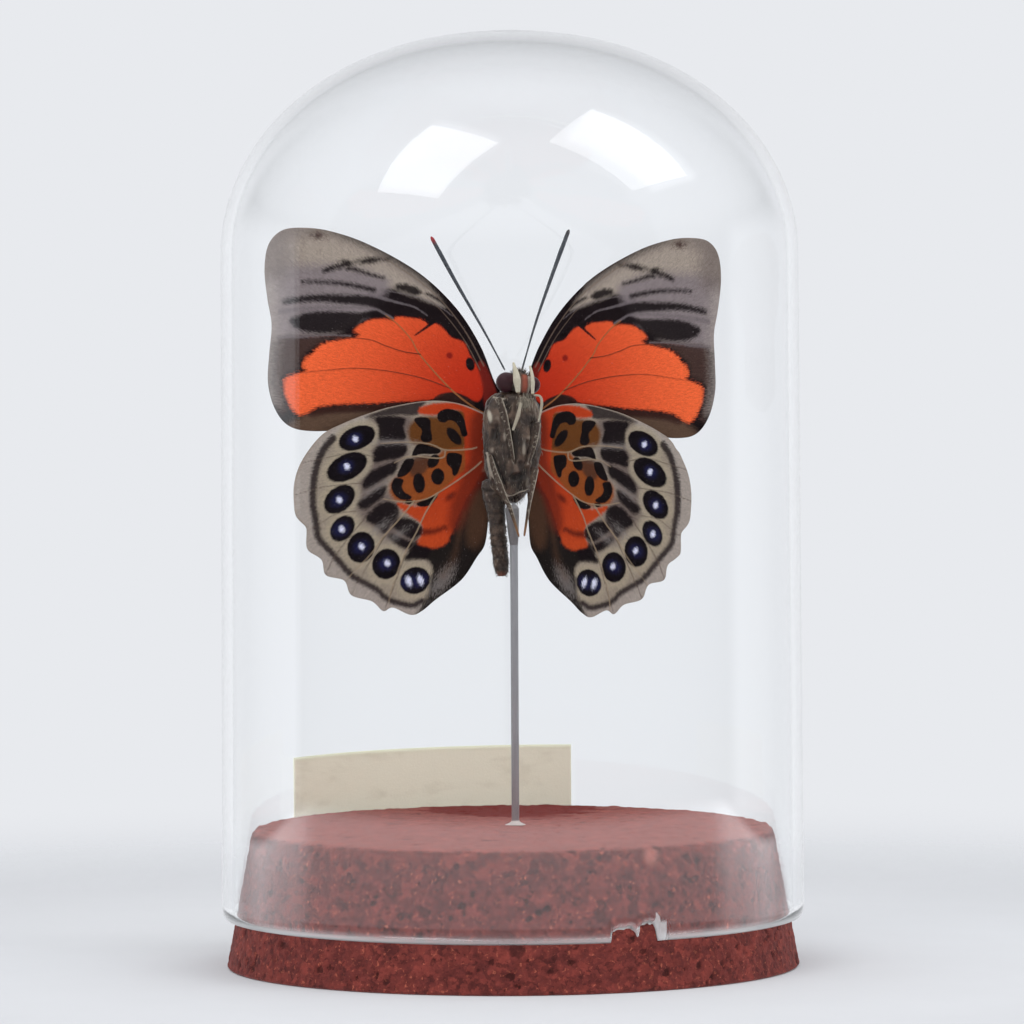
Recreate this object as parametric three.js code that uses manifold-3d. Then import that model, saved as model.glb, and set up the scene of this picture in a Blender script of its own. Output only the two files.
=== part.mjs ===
// A butterfly mounted on a steel pin over a dyed cork base, under a blown glass dome.
// Millimetres, +Z up, origin at the middle of the underside of the cork. The front is -Y.
import * as THREE from 'three';
import { mergeVertices } from 'three/addons/utils/BufferGeometryUtils.js';
import Module from 'manifold-3d';

// ---- Driving dimensions ----

const GAP = 0.3;
const ROUND_SIDES = 64;
const chipBandHeight = 6; // the glass above this height over the rim is whole

const cork = { height: 22, footRadius: 45.1, topRadius: 41, edgeRound: 0.5, boreDepth: 12 };

const dome = {
  rimHeight: 7.7, // underside of the rim, where the glass wedges on the cork
  shoulderHeight: 111.8,
  topHeight: 146.8,
  rimRadius: 45.76,
  shoulderRadius: 45.3,
  wall: 1.75,
  capFullness: 0.94, // 1 gives a plain half ellipse, less gives fuller shoulders
  capSteps: 12,
};

// Two shell-shaped flakes are broken from the rim, front right. Each bite is a low arch.
const chip = {
  bearing: 24.5, // degrees from the front towards +X
  bites: [
    { across: -2.3, halfWidth: 3.3, height: 3.0 },
    { across: 2.9, halfWidth: 2.6, height: 3.6 },
  ],
};

const pin = { radius: 0.62, x: 0.45, y: 2.0, topHeight: 72.7, bore: 0.82 };
const footGlue = { radius: 1.6, height: 0.7 };
const pinGlue = { radius: 1.15, bottom: 66, top: 72.4 };

const label = {
  bottom: 12.6,
  top: 31,
  thickness: 0.25,
  outerRadius: 43.6,
  from: -52, // degrees from the back, minus is towards -X
  to: 12,
};

// The specimen shows its underside to the front. In its own frame x runs across the wings,
// y towards its back and z towards its head.
const specimen = { x: 0.1, y: 4, z: 80.8, yaw: 13.7, roll: 1.8, pitch: 1.3, wingRaise: 16.8 };
const wingThickness = 0.3;
const foreWingSet = 1.0;
const hindWingSet = 0.2;

const head = { x: 1.0, y: -1.5, z: 10.6, halfWidth: 2.3, halfDepth: 1.6, halfHeight: 2.0 };
const eye = { radius: 1.57, apart: 4.44 };
const thorax = { x: 0.1, y: -0.5, flatten: 0.82 };
const abdomen = { topX: -1.9, tipX: -1.35, y: 0.6, top: -8.1, tip: -19.7 };

// Outlines of the right wings, [across, towards the head], from the leading root round the tip.
const foreWingOutline = [
  [2.7, 10.8], [5.0, 16.5], [9.0, 22.4], [15.0, 27.8], [23.0, 32.1], [29.0, 34.1], [33.3, 34.6],
  [36.6, 34.1], [38.7, 31.8], [39.3, 27.8], [38.7, 23.2], [37.9, 19.1], [38.2, 14.5], [38.3, 9.8],
  [37.1, 5.8], [34.9, 3.2], [31.3, 2.45], [25.0, 2.9], [15.0, 4.0], [4.2, 5.0],
];
const hindWingLeadingEdge = [
  [4.8, 5.6], [8.5, 7.3], [13.0, 7.6], [18.8, 6.65], [24.5, 4.8], [29.2, 2.4], [32.4, -0.9],
  [34.0, -6.2], [33.6, -10.4], [31.9, -13.4],
];
// Each tooth of the outer margin is [tooth, middle of the hollow that follows it].
const hindWingTeeth = [
  [[31.7, -16.0], [29.6, -17.7]],
  [[28.8, -20.1], [26.2, -21.1]],
  [[24.7, -23.4], [21.6, -23.8]],
  [[19.5, -25.6], [17.4, -25.3]],
];
const hindWingInnerMargin = [
  [15.0, -26.1], [11.4, -23.7], [7.4, -20.5], [5.05, -16.9], [3.8, -14.8], [3.5, -10.8], [4.2, -6.7],
  [4.0, -1.0],
];

// Routes of the thin parts in the specimen's frame, [x, y, z], and their radii.
const antennaRadius = 0.25;
const antennaRoutes = {
  left: [[-1.55, -1.2, 13.1], [-4.9, -0.7, 18.6], [-9.6, -0.2, 26.4], [-13.66, 0, 33.4]],
  right: [[1.2, -1.2, 13.5], [3.4, -0.7, 20.2], [6.1, -0.2, 27.9], [8.7, 0, 35.1]],
};
const palpRadius = 0.38;
const palpRoutes = {
  left: [[-0.6, -2.6, 13.9], [-0.35, -3.9, 12.0], [-0.15, -4.0, 9.2]],
  right: [[1.95, -2.6, 13.4], [2.2, -3.9, 11.8], [2.2, -4.0, 9.2]],
};
const legRadius = 0.32;
const legRoutes = {
  foreleg_left: [[0.3, -4.7, 7.6], [-0.1, -4.7, 5.6], [-0.9, -4.7, 3.2]],
  foreleg_right: [[3.4, -4.4, 8.7], [4.1, -4.4, 7.4], [3.6, -4.6, 4.6]],
  midleg_left: [[-2.6, -4.0, 8.1], [-1.8, -4.7, 3.8], [-0.4, -4.75, -1.9]],
  midleg_right: [[3.5, -4.6, 1.4], [2.9, -4.75, -0.2], [2.2, -4.75, -1.9]],
  hindleg_left: [[-3.6, -4.6, -3.2], [-2.7, -4.75, -5.2], [-1.6, -4.75, -8.0], [0.4, -4.75, -13.5]],
  hindleg_right: [[3.4, -4.6, -4.4], [2.6, -4.75, -6.2], [2.1, -4.75, -8.0], [1.2, -4.75, -13.4]],
};

const finishes = {
  glass: { color: 0xe6eaee, roughness: 0.02, metalness: 0, transparent: true, opacity: 0.3 },
  cork: { color: 0x6e3230, roughness: 0.95, metalness: 0 },
  steel: { color: 0x8d9094, roughness: 0.35, metalness: 1 },
  glue: { color: 0xb9bcc0, roughness: 0.3, metalness: 0 },
  paper: { color: 0xcbc8b4, roughness: 0.9, metalness: 0 },
  body: { color: 0x554b44, roughness: 0.9, metalness: 0 },
  foreWing: { color: 0xdc4623, roughness: 0.7, metalness: 0 },
  hindWing: { color: 0xa59b8c, roughness: 0.7, metalness: 0 },
  palp: { color: 0xd7cdb9, roughness: 0.8, metalness: 0 },
  leg: { color: 0x8a8070, roughness: 0.8, metalness: 0 },
};

// ---- Helpers ----

const radians = THREE.MathUtils.degToRad;
const wasm = await Module();
wasm.setup();

function mesh(name, geometry, finish) {
  const piece = new THREE.Mesh(geometry, new THREE.MeshStandardMaterial(finish));
  piece.name = name;
  return piece;
}

// A profile of [radius, height] turned about +Z. It runs upwards on the outside.
function turned(profile, sides) {
  const points = profile.map(([radius, height]) => new THREE.Vector2(radius, height));
  return new THREE.LatheGeometry(points, sides).rotateX(Math.PI / 2);
}

// A round tube of the given radius along a smooth route.
function tube(route, radius, steps) {
  const path = new THREE.CatmullRomCurve3(route.map((point) => new THREE.Vector3(...point)));
  const section = new THREE.Shape().absarc(0, 0, radius, 0, 2 * Math.PI);
  return new THREE.ExtrudeGeometry(section, { extrudePath: path, steps, curveSegments: 4 });
}

function toSolid(geometry) {
  const bare = geometry.clone();
  bare.deleteAttribute('normal');
  bare.deleteAttribute('uv');
  const merged = mergeVertices(bare, 1e-4);
  const corners = merged.index.array;
  const triangles = [];
  for (let i = 0; i < corners.length; i += 3) {
    const [a, b, c] = corners.slice(i, i + 3);
    if (a !== b && b !== c && c !== a) triangles.push(a, b, c);
  }
  return new wasm.Manifold(new wasm.Mesh({
    numProp: 3,
    vertProperties: new Float32Array(merged.attributes.position.array),
    triVerts: new Uint32Array(triangles),
  }));
}

function toGeometry(solid) {
  const { vertProperties, triVerts } = solid.getMesh();
  const geometry = new THREE.BufferGeometry();
  geometry.setAttribute('position', new THREE.BufferAttribute(vertProperties, 3));
  geometry.setIndex(new THREE.BufferAttribute(triVerts, 1));
  return geometry;
}

// ---- Base, pin and label ----

function corkBase() {
  const slope = (cork.footRadius - cork.topRadius) / cork.height;
  const body = turned([
    [0, 0],
    [cork.footRadius - cork.edgeRound, 0],
    [cork.footRadius, cork.edgeRound],
    [cork.topRadius + slope * cork.edgeRound, cork.height - cork.edgeRound],
    [cork.topRadius - cork.edgeRound, cork.height],
    [0, cork.height],
  ], ROUND_SIDES);
  const bore = new THREE.CylinderGeometry(pin.bore, pin.bore, 2 * cork.boreDepth, 16)
    .rotateX(Math.PI / 2)
    .translate(pin.x, pin.y, cork.height);
  return mesh('cork_base', toGeometry(toSolid(body).subtract(toSolid(bore))), finishes.cork);
}

function mountingPin() {
  const bottom = cork.height - cork.boreDepth + GAP;
  const length = pin.topHeight - bottom;
  const rod = new THREE.CylinderGeometry(pin.radius, pin.radius, length, 16).rotateX(Math.PI / 2);
  const piece = mesh('mounting_pin', rod, finishes.steel);
  piece.position.set(pin.x, pin.y, bottom + length / 2);
  return piece;
}

// A collar of glue round the pin: a low bead on the cork, or the long sheath under the thorax.
function glueCollar(name, radius, bottom, top) {
  const shoulder = Math.min(0.4, (top - bottom) / 2);
  const piece = mesh(name, turned([
    [pin.bore, bottom],
    [radius, bottom],
    [radius, top - shoulder],
    [pin.bore + 0.1, top],
    [pin.bore, top],
    [pin.bore, bottom],
  ], 20), finishes.glue);
  piece.position.set(pin.x, pin.y, 0);
  return piece;
}

function paperLabel() {
  const start = radians(90 - label.to);
  const end = radians(90 - label.from);
  const innerRadius = label.outerRadius - label.thickness;
  const plan = new THREE.Shape()
    .absarc(0, 0, label.outerRadius, start, end, false)
    .absarc(0, 0, innerRadius, end, start, true);
  const depth = label.top - label.bottom;
  const sheet = new THREE.ExtrudeGeometry(plan, { depth, bevelEnabled: false, curveSegments: 16 });
  return mesh('paper_label', sheet.translate(0, 0, label.bottom), finishes.paper);
}

// ---- Glass dome ----

function capProfile(radius, bottom, top) {
  const points = [];
  for (let step = 0; step < dome.capSteps; step += 1) {
    const turn = (step / dome.capSteps) * (Math.PI / 2);
    points.push([radius * Math.cos(turn) ** dome.capFullness, bottom + (top - bottom) * Math.sin(turn)]);
  }
  return [...points, [0, top]];
}

function chipTool(bite) {
  const outline = new THREE.Shape();
  outline.absellipse(0, 0, bite.halfWidth, bite.height, 0, 2 * Math.PI, false);
  return new THREE.ExtrudeGeometry(outline, { depth: 12, bevelEnabled: false, curveSegments: 12 })
    .rotateX(Math.PI / 2) // now pointing to the front, with the outline upright
    .translate(bite.across, 6 - dome.rimRadius, dome.rimHeight)
    .rotateZ(radians(chip.bearing));
}

function glassDome() {
  const { wall, rimHeight, rimRadius, shoulderRadius, shoulderHeight, topHeight } = dome;
  const taper = (rimRadius - shoulderRadius) / (shoulderHeight - rimHeight);
  const sleeve = [2.2, chipBandHeight].map((up) => [rimRadius - taper * up, rimHeight + up]);
  const lip = [[1, 0.55], [0.5, 0], [0, 0.55]].map(([inwards, up]) => [
    rimRadius - wall * inwards,
    rimHeight + wall / 2 * up,
  ]);
  const outside = [...sleeve, ...capProfile(shoulderRadius, shoulderHeight, topHeight)];
  const inside = [
    ...sleeve.map(([radius, height]) => [radius - wall, height]),
    ...capProfile(shoulderRadius - wall, shoulderHeight, topHeight - wall),
  ];
  const shell = turned([...inside.reverse(), ...lip, ...outside], ROUND_SIDES);
  const glass = chip.bites.reduce(
    (whole, bite) => whole.subtract(toSolid(chipTool(bite))),
    toSolid(shell),
  );
  return mesh('glass_dome', toGeometry(glass), finishes.glass);
}

// ---- Specimen ----

function thoraxGeometry(grow) {
  return turned([
    [0, -7.7 - grow],
    [1.6 + grow, -7.3],
    [2.6 + grow, -6.2],
    [3.8 + grow, -3.5],
    [4.2 + grow, 0],
    [3.9 + grow, 3.5],
    [3.0 + grow, 6.2],
    [1.7 + grow, 7.7],
    [0, 8.1 + grow],
  ], 20)
    .scale(1, thorax.flatten, 1)
    .translate(thorax.x, thorax.y, 0);
}

function headPiece() {
  const skull = new THREE.SphereGeometry(1, 16, 10)
    .scale(head.halfWidth, head.halfDepth, head.halfHeight)
    .translate(head.x, head.y, head.z);
  let solid = toSolid(skull);
  for (const side of [-1, 1]) {
    const ball = new THREE.SphereGeometry(eye.radius, 14, 10)
      .translate(head.x + side * eye.apart / 2, head.y, head.z - side * 0.1);
    solid = solid.add(toSolid(ball));
  }
  return mesh('head', toGeometry(solid), finishes.body);
}

function abdomenGeometry(grow) {
  const { top, tip } = abdomen;
  const barrel = turned([
    [0, tip - grow],
    [0.9 + grow, tip + 0.4],
    [1.2 + grow, tip + 2.5],
    [1.5 + grow, tip + 6.5],
    [1.7 + grow, top - 1.6],
    [1.3 + grow, top - 0.3],
    [0, top + grow],
  ], 16);
  const lean = Math.atan2(abdomen.tipX - abdomen.topX, top - tip);
  return barrel.translate(0, 0, -top).rotateY(-lean).translate(abdomen.topX, abdomen.y, top);
}

function splineAlong(points) {
  return points.map((point) => new THREE.Vector2(...point));
}

function foreWingShape(side) {
  const [root, ...rest] = foreWingOutline.map(([across, up]) => [side * across, up]);
  return new THREE.Shape().moveTo(...root).splineThru(splineAlong(rest));
}

// The outer margin is scalloped: teeth with shallow hollows between them.
function hindWingShape(side) {
  const place = ([across, up]) => [side * across, up];
  const [root, ...leading] = hindWingLeadingEdge.map(place);
  const [tip, ...inner] = hindWingInnerMargin.map(place);
  const shape = new THREE.Shape().moveTo(...root);
  shape.splineThru(splineAlong(leading));
  hindWingTeeth.forEach(([tooth, hollow], index) => {
    const next = index + 1 < hindWingTeeth.length ? place(hindWingTeeth[index + 1][0]) : tip;
    if (index === 0) shape.lineTo(...place(tooth));
    shape.quadraticCurveTo(...place(hollow), ...next);
  });
  shape.splineThru(splineAlong(inner));
  return shape;
}

// A thin plate in the wing's plane, raised towards the back and cut clear of the body.
function wing(name, shape, side, set, finish) {
  const extrusion = { depth: wingThickness, bevelEnabled: false, curveSegments: 3 };
  const plate = new THREE.ExtrudeGeometry(shape, extrusion)
    .rotateX(Math.PI / 2)
    .translate(0, wingThickness / 2, 0)
    .rotateZ(side * radians(specimen.wingRaise))
    .translate(0, set, 0);
  const clear = toSolid(plate)
    .subtract(toSolid(thoraxGeometry(GAP)))
    .subtract(toSolid(abdomenGeometry(GAP)));
  return mesh(name, toGeometry(clear), finish);
}

function mountedButterfly() {
  const group = new THREE.Group();
  group.position.set(specimen.x, specimen.y, specimen.z);
  group.rotation.set(-radians(specimen.pitch), radians(specimen.roll), radians(specimen.yaw), 'ZYX');
  group.add(
    headPiece(),
    mesh('thorax', thoraxGeometry(0), finishes.body),
    mesh('abdomen', abdomenGeometry(0), finishes.body),
  );
  for (const [name, side] of [['left', -1], ['right', 1]]) {
    group.add(wing(`forewing_${name}`, foreWingShape(side), side, foreWingSet, finishes.foreWing));
    group.add(wing(`hindwing_${name}`, hindWingShape(side), side, hindWingSet, finishes.hindWing));
    group.add(mesh(`antenna_${name}`, tube(antennaRoutes[name], antennaRadius, 10), finishes.body));
    group.add(mesh(`palp_${name}`, tube(palpRoutes[name], palpRadius, 6), finishes.palp));
  }
  for (const [name, route] of Object.entries(legRoutes)) {
    group.add(mesh(name, tube(route, legRadius, 8), finishes.leg));
  }
  return group;
}

const object = new THREE.Group();
object.add(
  corkBase(),
  glassDome(),
  mountingPin(),
  glueCollar('foot_glue', footGlue.radius, cork.height + GAP, cork.height + GAP + footGlue.height),
  glueCollar('pin_glue', pinGlue.radius, pinGlue.bottom, pinGlue.top),
  paperLabel(),
  mountedButterfly(),
);

export default object;
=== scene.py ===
# Mounted butterfly in a glass dome: the finish of every piece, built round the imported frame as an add-on.
import math

import bpy
import numpy as np
from bpy.props import FloatProperty, FloatVectorProperty, IntProperty, PointerProperty
from mathutils import Matrix


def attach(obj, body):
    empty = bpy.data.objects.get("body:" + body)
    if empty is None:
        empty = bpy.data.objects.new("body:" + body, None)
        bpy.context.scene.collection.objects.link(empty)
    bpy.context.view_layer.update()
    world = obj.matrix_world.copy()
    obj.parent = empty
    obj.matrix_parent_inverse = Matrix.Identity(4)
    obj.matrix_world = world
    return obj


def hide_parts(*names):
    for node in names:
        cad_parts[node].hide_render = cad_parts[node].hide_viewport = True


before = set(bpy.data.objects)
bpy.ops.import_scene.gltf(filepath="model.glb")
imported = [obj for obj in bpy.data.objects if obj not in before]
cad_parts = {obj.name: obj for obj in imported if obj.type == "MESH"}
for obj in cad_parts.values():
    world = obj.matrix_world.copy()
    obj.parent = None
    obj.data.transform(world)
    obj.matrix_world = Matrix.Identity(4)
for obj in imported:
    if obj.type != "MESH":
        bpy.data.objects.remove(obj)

bl_info = {
    "name": "Butterfly in Glass Dome",
    "version": (1, 0, 0),
    "blender": (4, 5, 0),
    "location": "3D View > Sidebar > Glass Dome",
    "description": "Builds a mounted butterfly, its cork base and its glass dome round a packed CAD frame",
    "category": "Object",
}

MM = 0.001
SEED = 20
BODY = "root"

# Where the specimen hangs, in millimetres and degrees. Its own frame is x across, w away from the viewer
# and v towards the head, with the middle of the thorax at nought.
SPECIMEN_AT = (0.1, 4.0, 80.8)
SPECIMEN_YAW = 13.7
SPECIMEN_ROLL = 1.8
SPECIMEN_PITCH = -1.3
WING_RAISE = math.radians(16.8)
PIN_X, PIN_Y = 0.45, 2.0

# Outlines of the right wings, seen from below, as (x, v) in millimetres.
FOREWING_EDGE = (
    (0.9, 7.8), (2.7, 11), (5, 16.5), (9, 22.4), (15, 27.8), (23, 32.1), (29, 34.1), (33.3, 34.6),
    (36.6, 34.1), (38.7, 31.8), (39.3, 27.8), (38.7, 23.2), (37.9, 19.1), (38.2, 14.5), (38.3, 9.8),
    (37.1, 5.8), (34.9, 3.2), (31.3, 2.45), (25, 2.9), (15, 4), (4.2, 4.4), (1.2, 4.8),
)
HINDWING_EDGE = (
    (2.6, 4.6), (4.8, 6), (8.5, 7.3), (13, 7.6), (18.8, 6.6), (23.2, 5.2), (26.9, 3.65), (29.7, 2.1),
    (31.9, -0.5), (33.4, -3.2), (34.1, -5.9), (34.1, -8.6), (33.7, -11), (32.2, -12.6), (32, -13.4),
    (31.8, -16.2), (29.6, -17.8), (28.9, -20.2), (26, -21), (24.8, -23.3), (21.5, -24.2), (19.7, -25.7),
    (18.2, -25.1), (15.3, -26.2), (13.5, -25.5), (11.4, -23.7), (7.4, -20.5), (5.05, -16.9), (3.8, -14.8),
    (3.3, -10.8), (3, -6.7), (2, -1),
)
FOREWING_ROOT = (3.4, 7.4)
HINDWING_ROOT = (4.4, 1.5)

# Eyespots of the hindwing: centre, half length, half width and tilt in degrees.
EYESPOTS = (
    (24.4, 1.5, 3.05, 1.8, -23), (25.9, -3.1, 3.45, 2, -28), (27, -8.2, 2.8, 1.9, -40),
    (26.4, -12.8, 2.3, 1.7, -50), (23.4, -15.7, 2.5, 2.15, -72), (19.35, -18.25, 2.45, 2.2, -70),
    (14.75, -20.75, 2.4, 2.1, -25),
)
PUPILS = (
    (24.6, 1.35), (25.9, -3), (27, -8.3), (26.5, -12.9), (23.3, -15.6), (19.2, -18.1), (13.9, -20.7),
    (15.75, -20.9),
)


# ---------- settings that a user would change


def paint(red, green, blue):
    """The linear colour, with alpha, of three sRGB bytes: a small share of 255 is divided by 12.92, and any
    other is raised to the power 2.4."""
    byte = np.array([red, green, blue]) / 255
    linear = np.where(byte <= 0.04045, byte / 12.92, ((byte + 0.055) / 1.055) ** 2.4)
    return (*linear.tolist(), 1.0)


def length(name, description, millimetres):
    """A length property whose default is given in millimetres."""
    return FloatProperty(
        name=name, description=description, default=millimetres * MM, unit="LENGTH", precision=5,
    )


def colour(name, description, *byte):
    """A colour property whose default is given as three sRGB bytes."""
    return FloatVectorProperty(
        name=name, description=description, default=paint(*byte), size=4, min=0, max=1, subtype="COLOR"
    )


class DomeSizes(bpy.types.PropertyGroup):
    """Sizes of the glass dome."""

    rim_height: length("Rim height", "Height of the rim above the floor", 7.7)
    shoulder_height: length("Shoulder height", "Height where the wall turns into the cap", 111.8)
    top_height: length("Top height", "Height of the highest point of the cap", 146.8)
    rim_radius: length("Rim radius", "Outer radius at the rim", 45.76)
    shoulder_radius: length("Shoulder radius", "Outer radius at the shoulder", 45.3)
    wall: length("Wall", "Thickness of the glass", 1.75)
    columns: IntProperty(name="Columns", description="Faces round the dome", default=420, min=48)


class CorkSizes(bpy.types.PropertyGroup):
    """Sizes of the cork base."""

    height: length("Height", "Height of the cork", 22.0)
    foot_radius: length("Foot radius", "Radius at the floor", 45.1)
    top_radius: length("Top radius", "Radius of the upper face", 41.0)
    granule: length("Granule", "Typical size of one cork granule", 2.3)
    relief: length("Relief", "Depth of the seams between granules", 0.16)


class Finishes(bpy.types.PropertyGroup):
    """Colours of the cork, the paper, the body and the wings."""

    cork: colour("Cork", "Dyed cork", 104, 46, 43)
    cork_light: colour("Cork, light granules", "Brightest granules", 152, 68, 58)
    cork_dark: colour("Cork, dark granules", "Darkest granules and pits", 48, 17, 17)
    paper: colour("Paper", "Bare label", 242, 239, 218)
    body: colour("Body", "Scales of the body", 104, 84, 70)
    cream: colour("Cream", "Palps, collar and leg edges", 182, 174, 154)
    black: colour("Black", "Black wing marks", 25, 18, 20)
    ochre: colour("Ochre", "Ochre wing cells", 98, 58, 26)
    beige: colour("Beige", "Ground of the hindwing", 148, 135, 120)
    grey: colour("Grey", "Tip of the forewing", 160, 147, 135)


class StudioSettings(bpy.types.PropertyGroup):
    """Camera, light and floor."""

    distance: length("Camera distance", "From the object's axis to the camera", 1099.0)
    look_height: length("Look height", "Height of the camera's aim on the axis", 71.28)
    pitch: FloatProperty(
        name="Pitch", description="Camera's look down", default=math.radians(2.43), subtype="ANGLE",
    )
    roll: FloatProperty(
        name="Roll", description="Camera's turn", default=math.radians(0.32), subtype="ANGLE",
    )
    lens: FloatProperty(
        name="Lens", description="Focal length for a 36 mm sensor", default=246.1, unit="CAMERA",
    )
    surround: colour("Surround", "Backdrop and all-round light", 232, 234, 238)
    softbox: FloatProperty(name="Softbox", description="Power of each softbox in watts", default=2.3)


class GlassDomeScene(bpy.types.PropertyGroup):
    """Everything that this add-on stores in the scene."""

    dome: PointerProperty(type=DomeSizes)
    cork: PointerProperty(type=CorkSizes)
    finishes: PointerProperty(type=Finishes)
    studio: PointerProperty(type=StudioSettings)


# ---------- numpy: noise, curves and distances


def clamp(values):
    """The values, held between nought and one."""
    return np.clip(values, 0, 1)


def unit(vectors):
    """Each vector divided by its own length."""
    return vectors / np.linalg.norm(vectors, axis=-1, keepdims=True)


def full_turn(count):
    """Angles at equal steps round a full turn."""
    return np.linspace(0, 2 * math.pi, count, endpoint=False)


# Large odd numbers that stir a cell's own numbers into a random one.
STIRRERS = (73856093, 19349663, 83492791)


def lattice(cells, seed):
    """A repeatable random number from 0 to 1 for each whole-number cell: the cell's three numbers are mixed
    by multiplying and shifting."""
    mixed = seed * 2654435761
    for axis, stirrer in enumerate(STIRRERS):
        mixed = cells[..., axis] * stirrer ^ mixed
    mixed &= 0xFFFFFFFF
    mixed = (mixed ^ mixed >> 15) * 2246822519 & 0xFFFFFFFF
    mixed = (mixed ^ mixed >> 13) * 3266489917 & 0xFFFFFFFF
    return (mixed ^ mixed >> 16) / 4294967295


def cloud(points, size, seed):
    """Smooth noise from -1 to 1: random numbers at the corners of cubes of this size, eased in between."""
    scaled = points / size
    cell = np.floor(scaled).astype(np.int64)
    ease = scaled - cell
    ease = ease * ease * (3 - 2 * ease)
    total = np.zeros(points.shape[:-1])
    for corner in np.ndindex(2, 2, 2):
        share = np.prod(np.where(corner, ease, 1 - ease), axis=-1)
        total += share * lattice(cell + corner, seed)
    return total * 2 - 1


def granules(points, size, seed):
    """How much farther the second nearest random seed point is than the nearest, and the nearest one's own
    number. Each cube of this size holds one seed point."""
    scaled = points / size
    cell = np.floor(scaled).astype(np.int64)
    nearest = np.full(points.shape[:-1], 9.0)
    second = nearest.copy()
    owner = np.zeros(points.shape[:-1])
    for step in np.ndindex(3, 3, 3):
        near = cell + np.array(step) - 1
        jitter = np.stack([lattice(near, seed + axis) for axis in range(3)], axis=-1)
        gap = np.linalg.norm(near + jitter - scaled, axis=-1)
        closer = gap < nearest
        second = np.where(closer, nearest, np.minimum(second, gap))
        owner = np.where(closer, lattice(near, seed + 7), owner)
        nearest = np.where(closer, gap, nearest)
    return second - nearest, owner


def smooth_line(points, steps=8, closed=False):
    """A curve through the points: each stretch is a cubic whose slopes come from the points beside it."""
    knots = np.array(points, float)
    if closed:
        padded = np.concatenate([knots[-1:], knots, knots[:2]])
    else:
        padded = np.concatenate([2 * knots[:1] - knots[1:2], knots, 2 * knots[-1:] - knots[-2:-1]])
    before, start, end, after = padded[:-3], padded[1:-2], padded[2:-1], padded[3:]
    t = (np.arange(steps) / steps)[:, None, None]
    curve = 0.5 * (
        2 * start
        + (end - before) * t
        + (2 * before - 5 * start + 4 * end - after) * t**2
        + (3 * start - before - 3 * end + after) * t**3
    )
    curve = curve.transpose(1, 0, 2).reshape(-1, knots.shape[1])
    return curve if closed else np.concatenate([curve, knots[-1:]])


def even_steps(line, count, closed=False):
    """The same line with points at equal distances along it."""
    whole = np.concatenate([line, line[:1]]) if closed else line
    run = np.concatenate([[0], np.cumsum(np.linalg.norm(np.diff(whole, axis=0), axis=1))])
    stops = np.linspace(0, run[-1], count, endpoint=not closed)
    return np.stack([np.interp(stops, run, whole[:, axis]) for axis in range(line.shape[1])], axis=1)


def line_distance(flat, line, closed=False):
    """Distance from each flat point to the line, and the share of the line's length where it is nearest."""
    ends = np.roll(line, -1, 0) if closed else line[1:]
    starts = line if closed else line[:-1]
    lengths = np.linalg.norm(ends - starts, axis=1)
    run = np.concatenate([[0], np.cumsum(lengths)])
    best = np.full(flat.shape[:-1], 1e9)
    share = np.zeros(flat.shape[:-1])
    for start, end, size, before in zip(starts, ends, lengths, run):
        along = clamp((flat - start) @ (end - start) / max(size, 1e-9) ** 2)
        gap = np.linalg.norm(flat - start - along[..., None] * (end - start), axis=-1)
        closer = gap < best
        best = np.where(closer, gap, best)
        share = np.where(closer, (before + along * size) / run[-1], share)
    return best, share


class Flat:
    """Flat shapes measured at each point of a wing. Every method gives the signed distance to the shape's
    edge in millimetres, positive inside."""

    def __init__(self, flat):
        self.flat = flat

    def area(self, *points):
        """Inside a closed outline: the distance to it, with the sign from how often a line to the right
        crosses it."""
        line = smooth_line(points, 5, closed=True)
        gap, _ = line_distance(self.flat, line, closed=True)
        x, v = self.flat[..., 0], self.flat[..., 1]
        inside = np.zeros(x.shape, bool)
        for (ax, av), (bx, bv) in zip(line, np.roll(line, -1, 0)):
            if av != bv:
                inside ^= ((av > v) != (bv > v)) & (x < (bx - ax) * (v - av) / (bv - av) + ax)
        return np.where(inside, gap, -gap)

    def stroke(self, width, *points, tip=None):
        """Within half a width of a curve; the half width runs evenly to the tip's where one is given."""
        gap, share = line_distance(self.flat, smooth_line(points, 5))
        half = width if tip is None else width + (tip - width) * share
        return half - gap

    def spot(self, x, v, half_long, half_wide, tilt=0.0):
        """Inside an ellipse: one less its own radius, times the shorter half width."""
        turn = math.radians(tilt)
        across, up = self.flat[..., 0] - x, self.flat[..., 1] - v
        along = across * math.cos(turn) + up * math.sin(turn)
        aside = up * math.cos(turn) - across * math.sin(turn)
        return (1 - np.hypot(along / half_long, aside / half_wide)) * min(half_long, half_wide)


def any_of(*shapes):
    """The union of shapes: the largest of their distances."""
    return np.maximum.reduce(shapes)


# ---------- meshes


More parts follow.
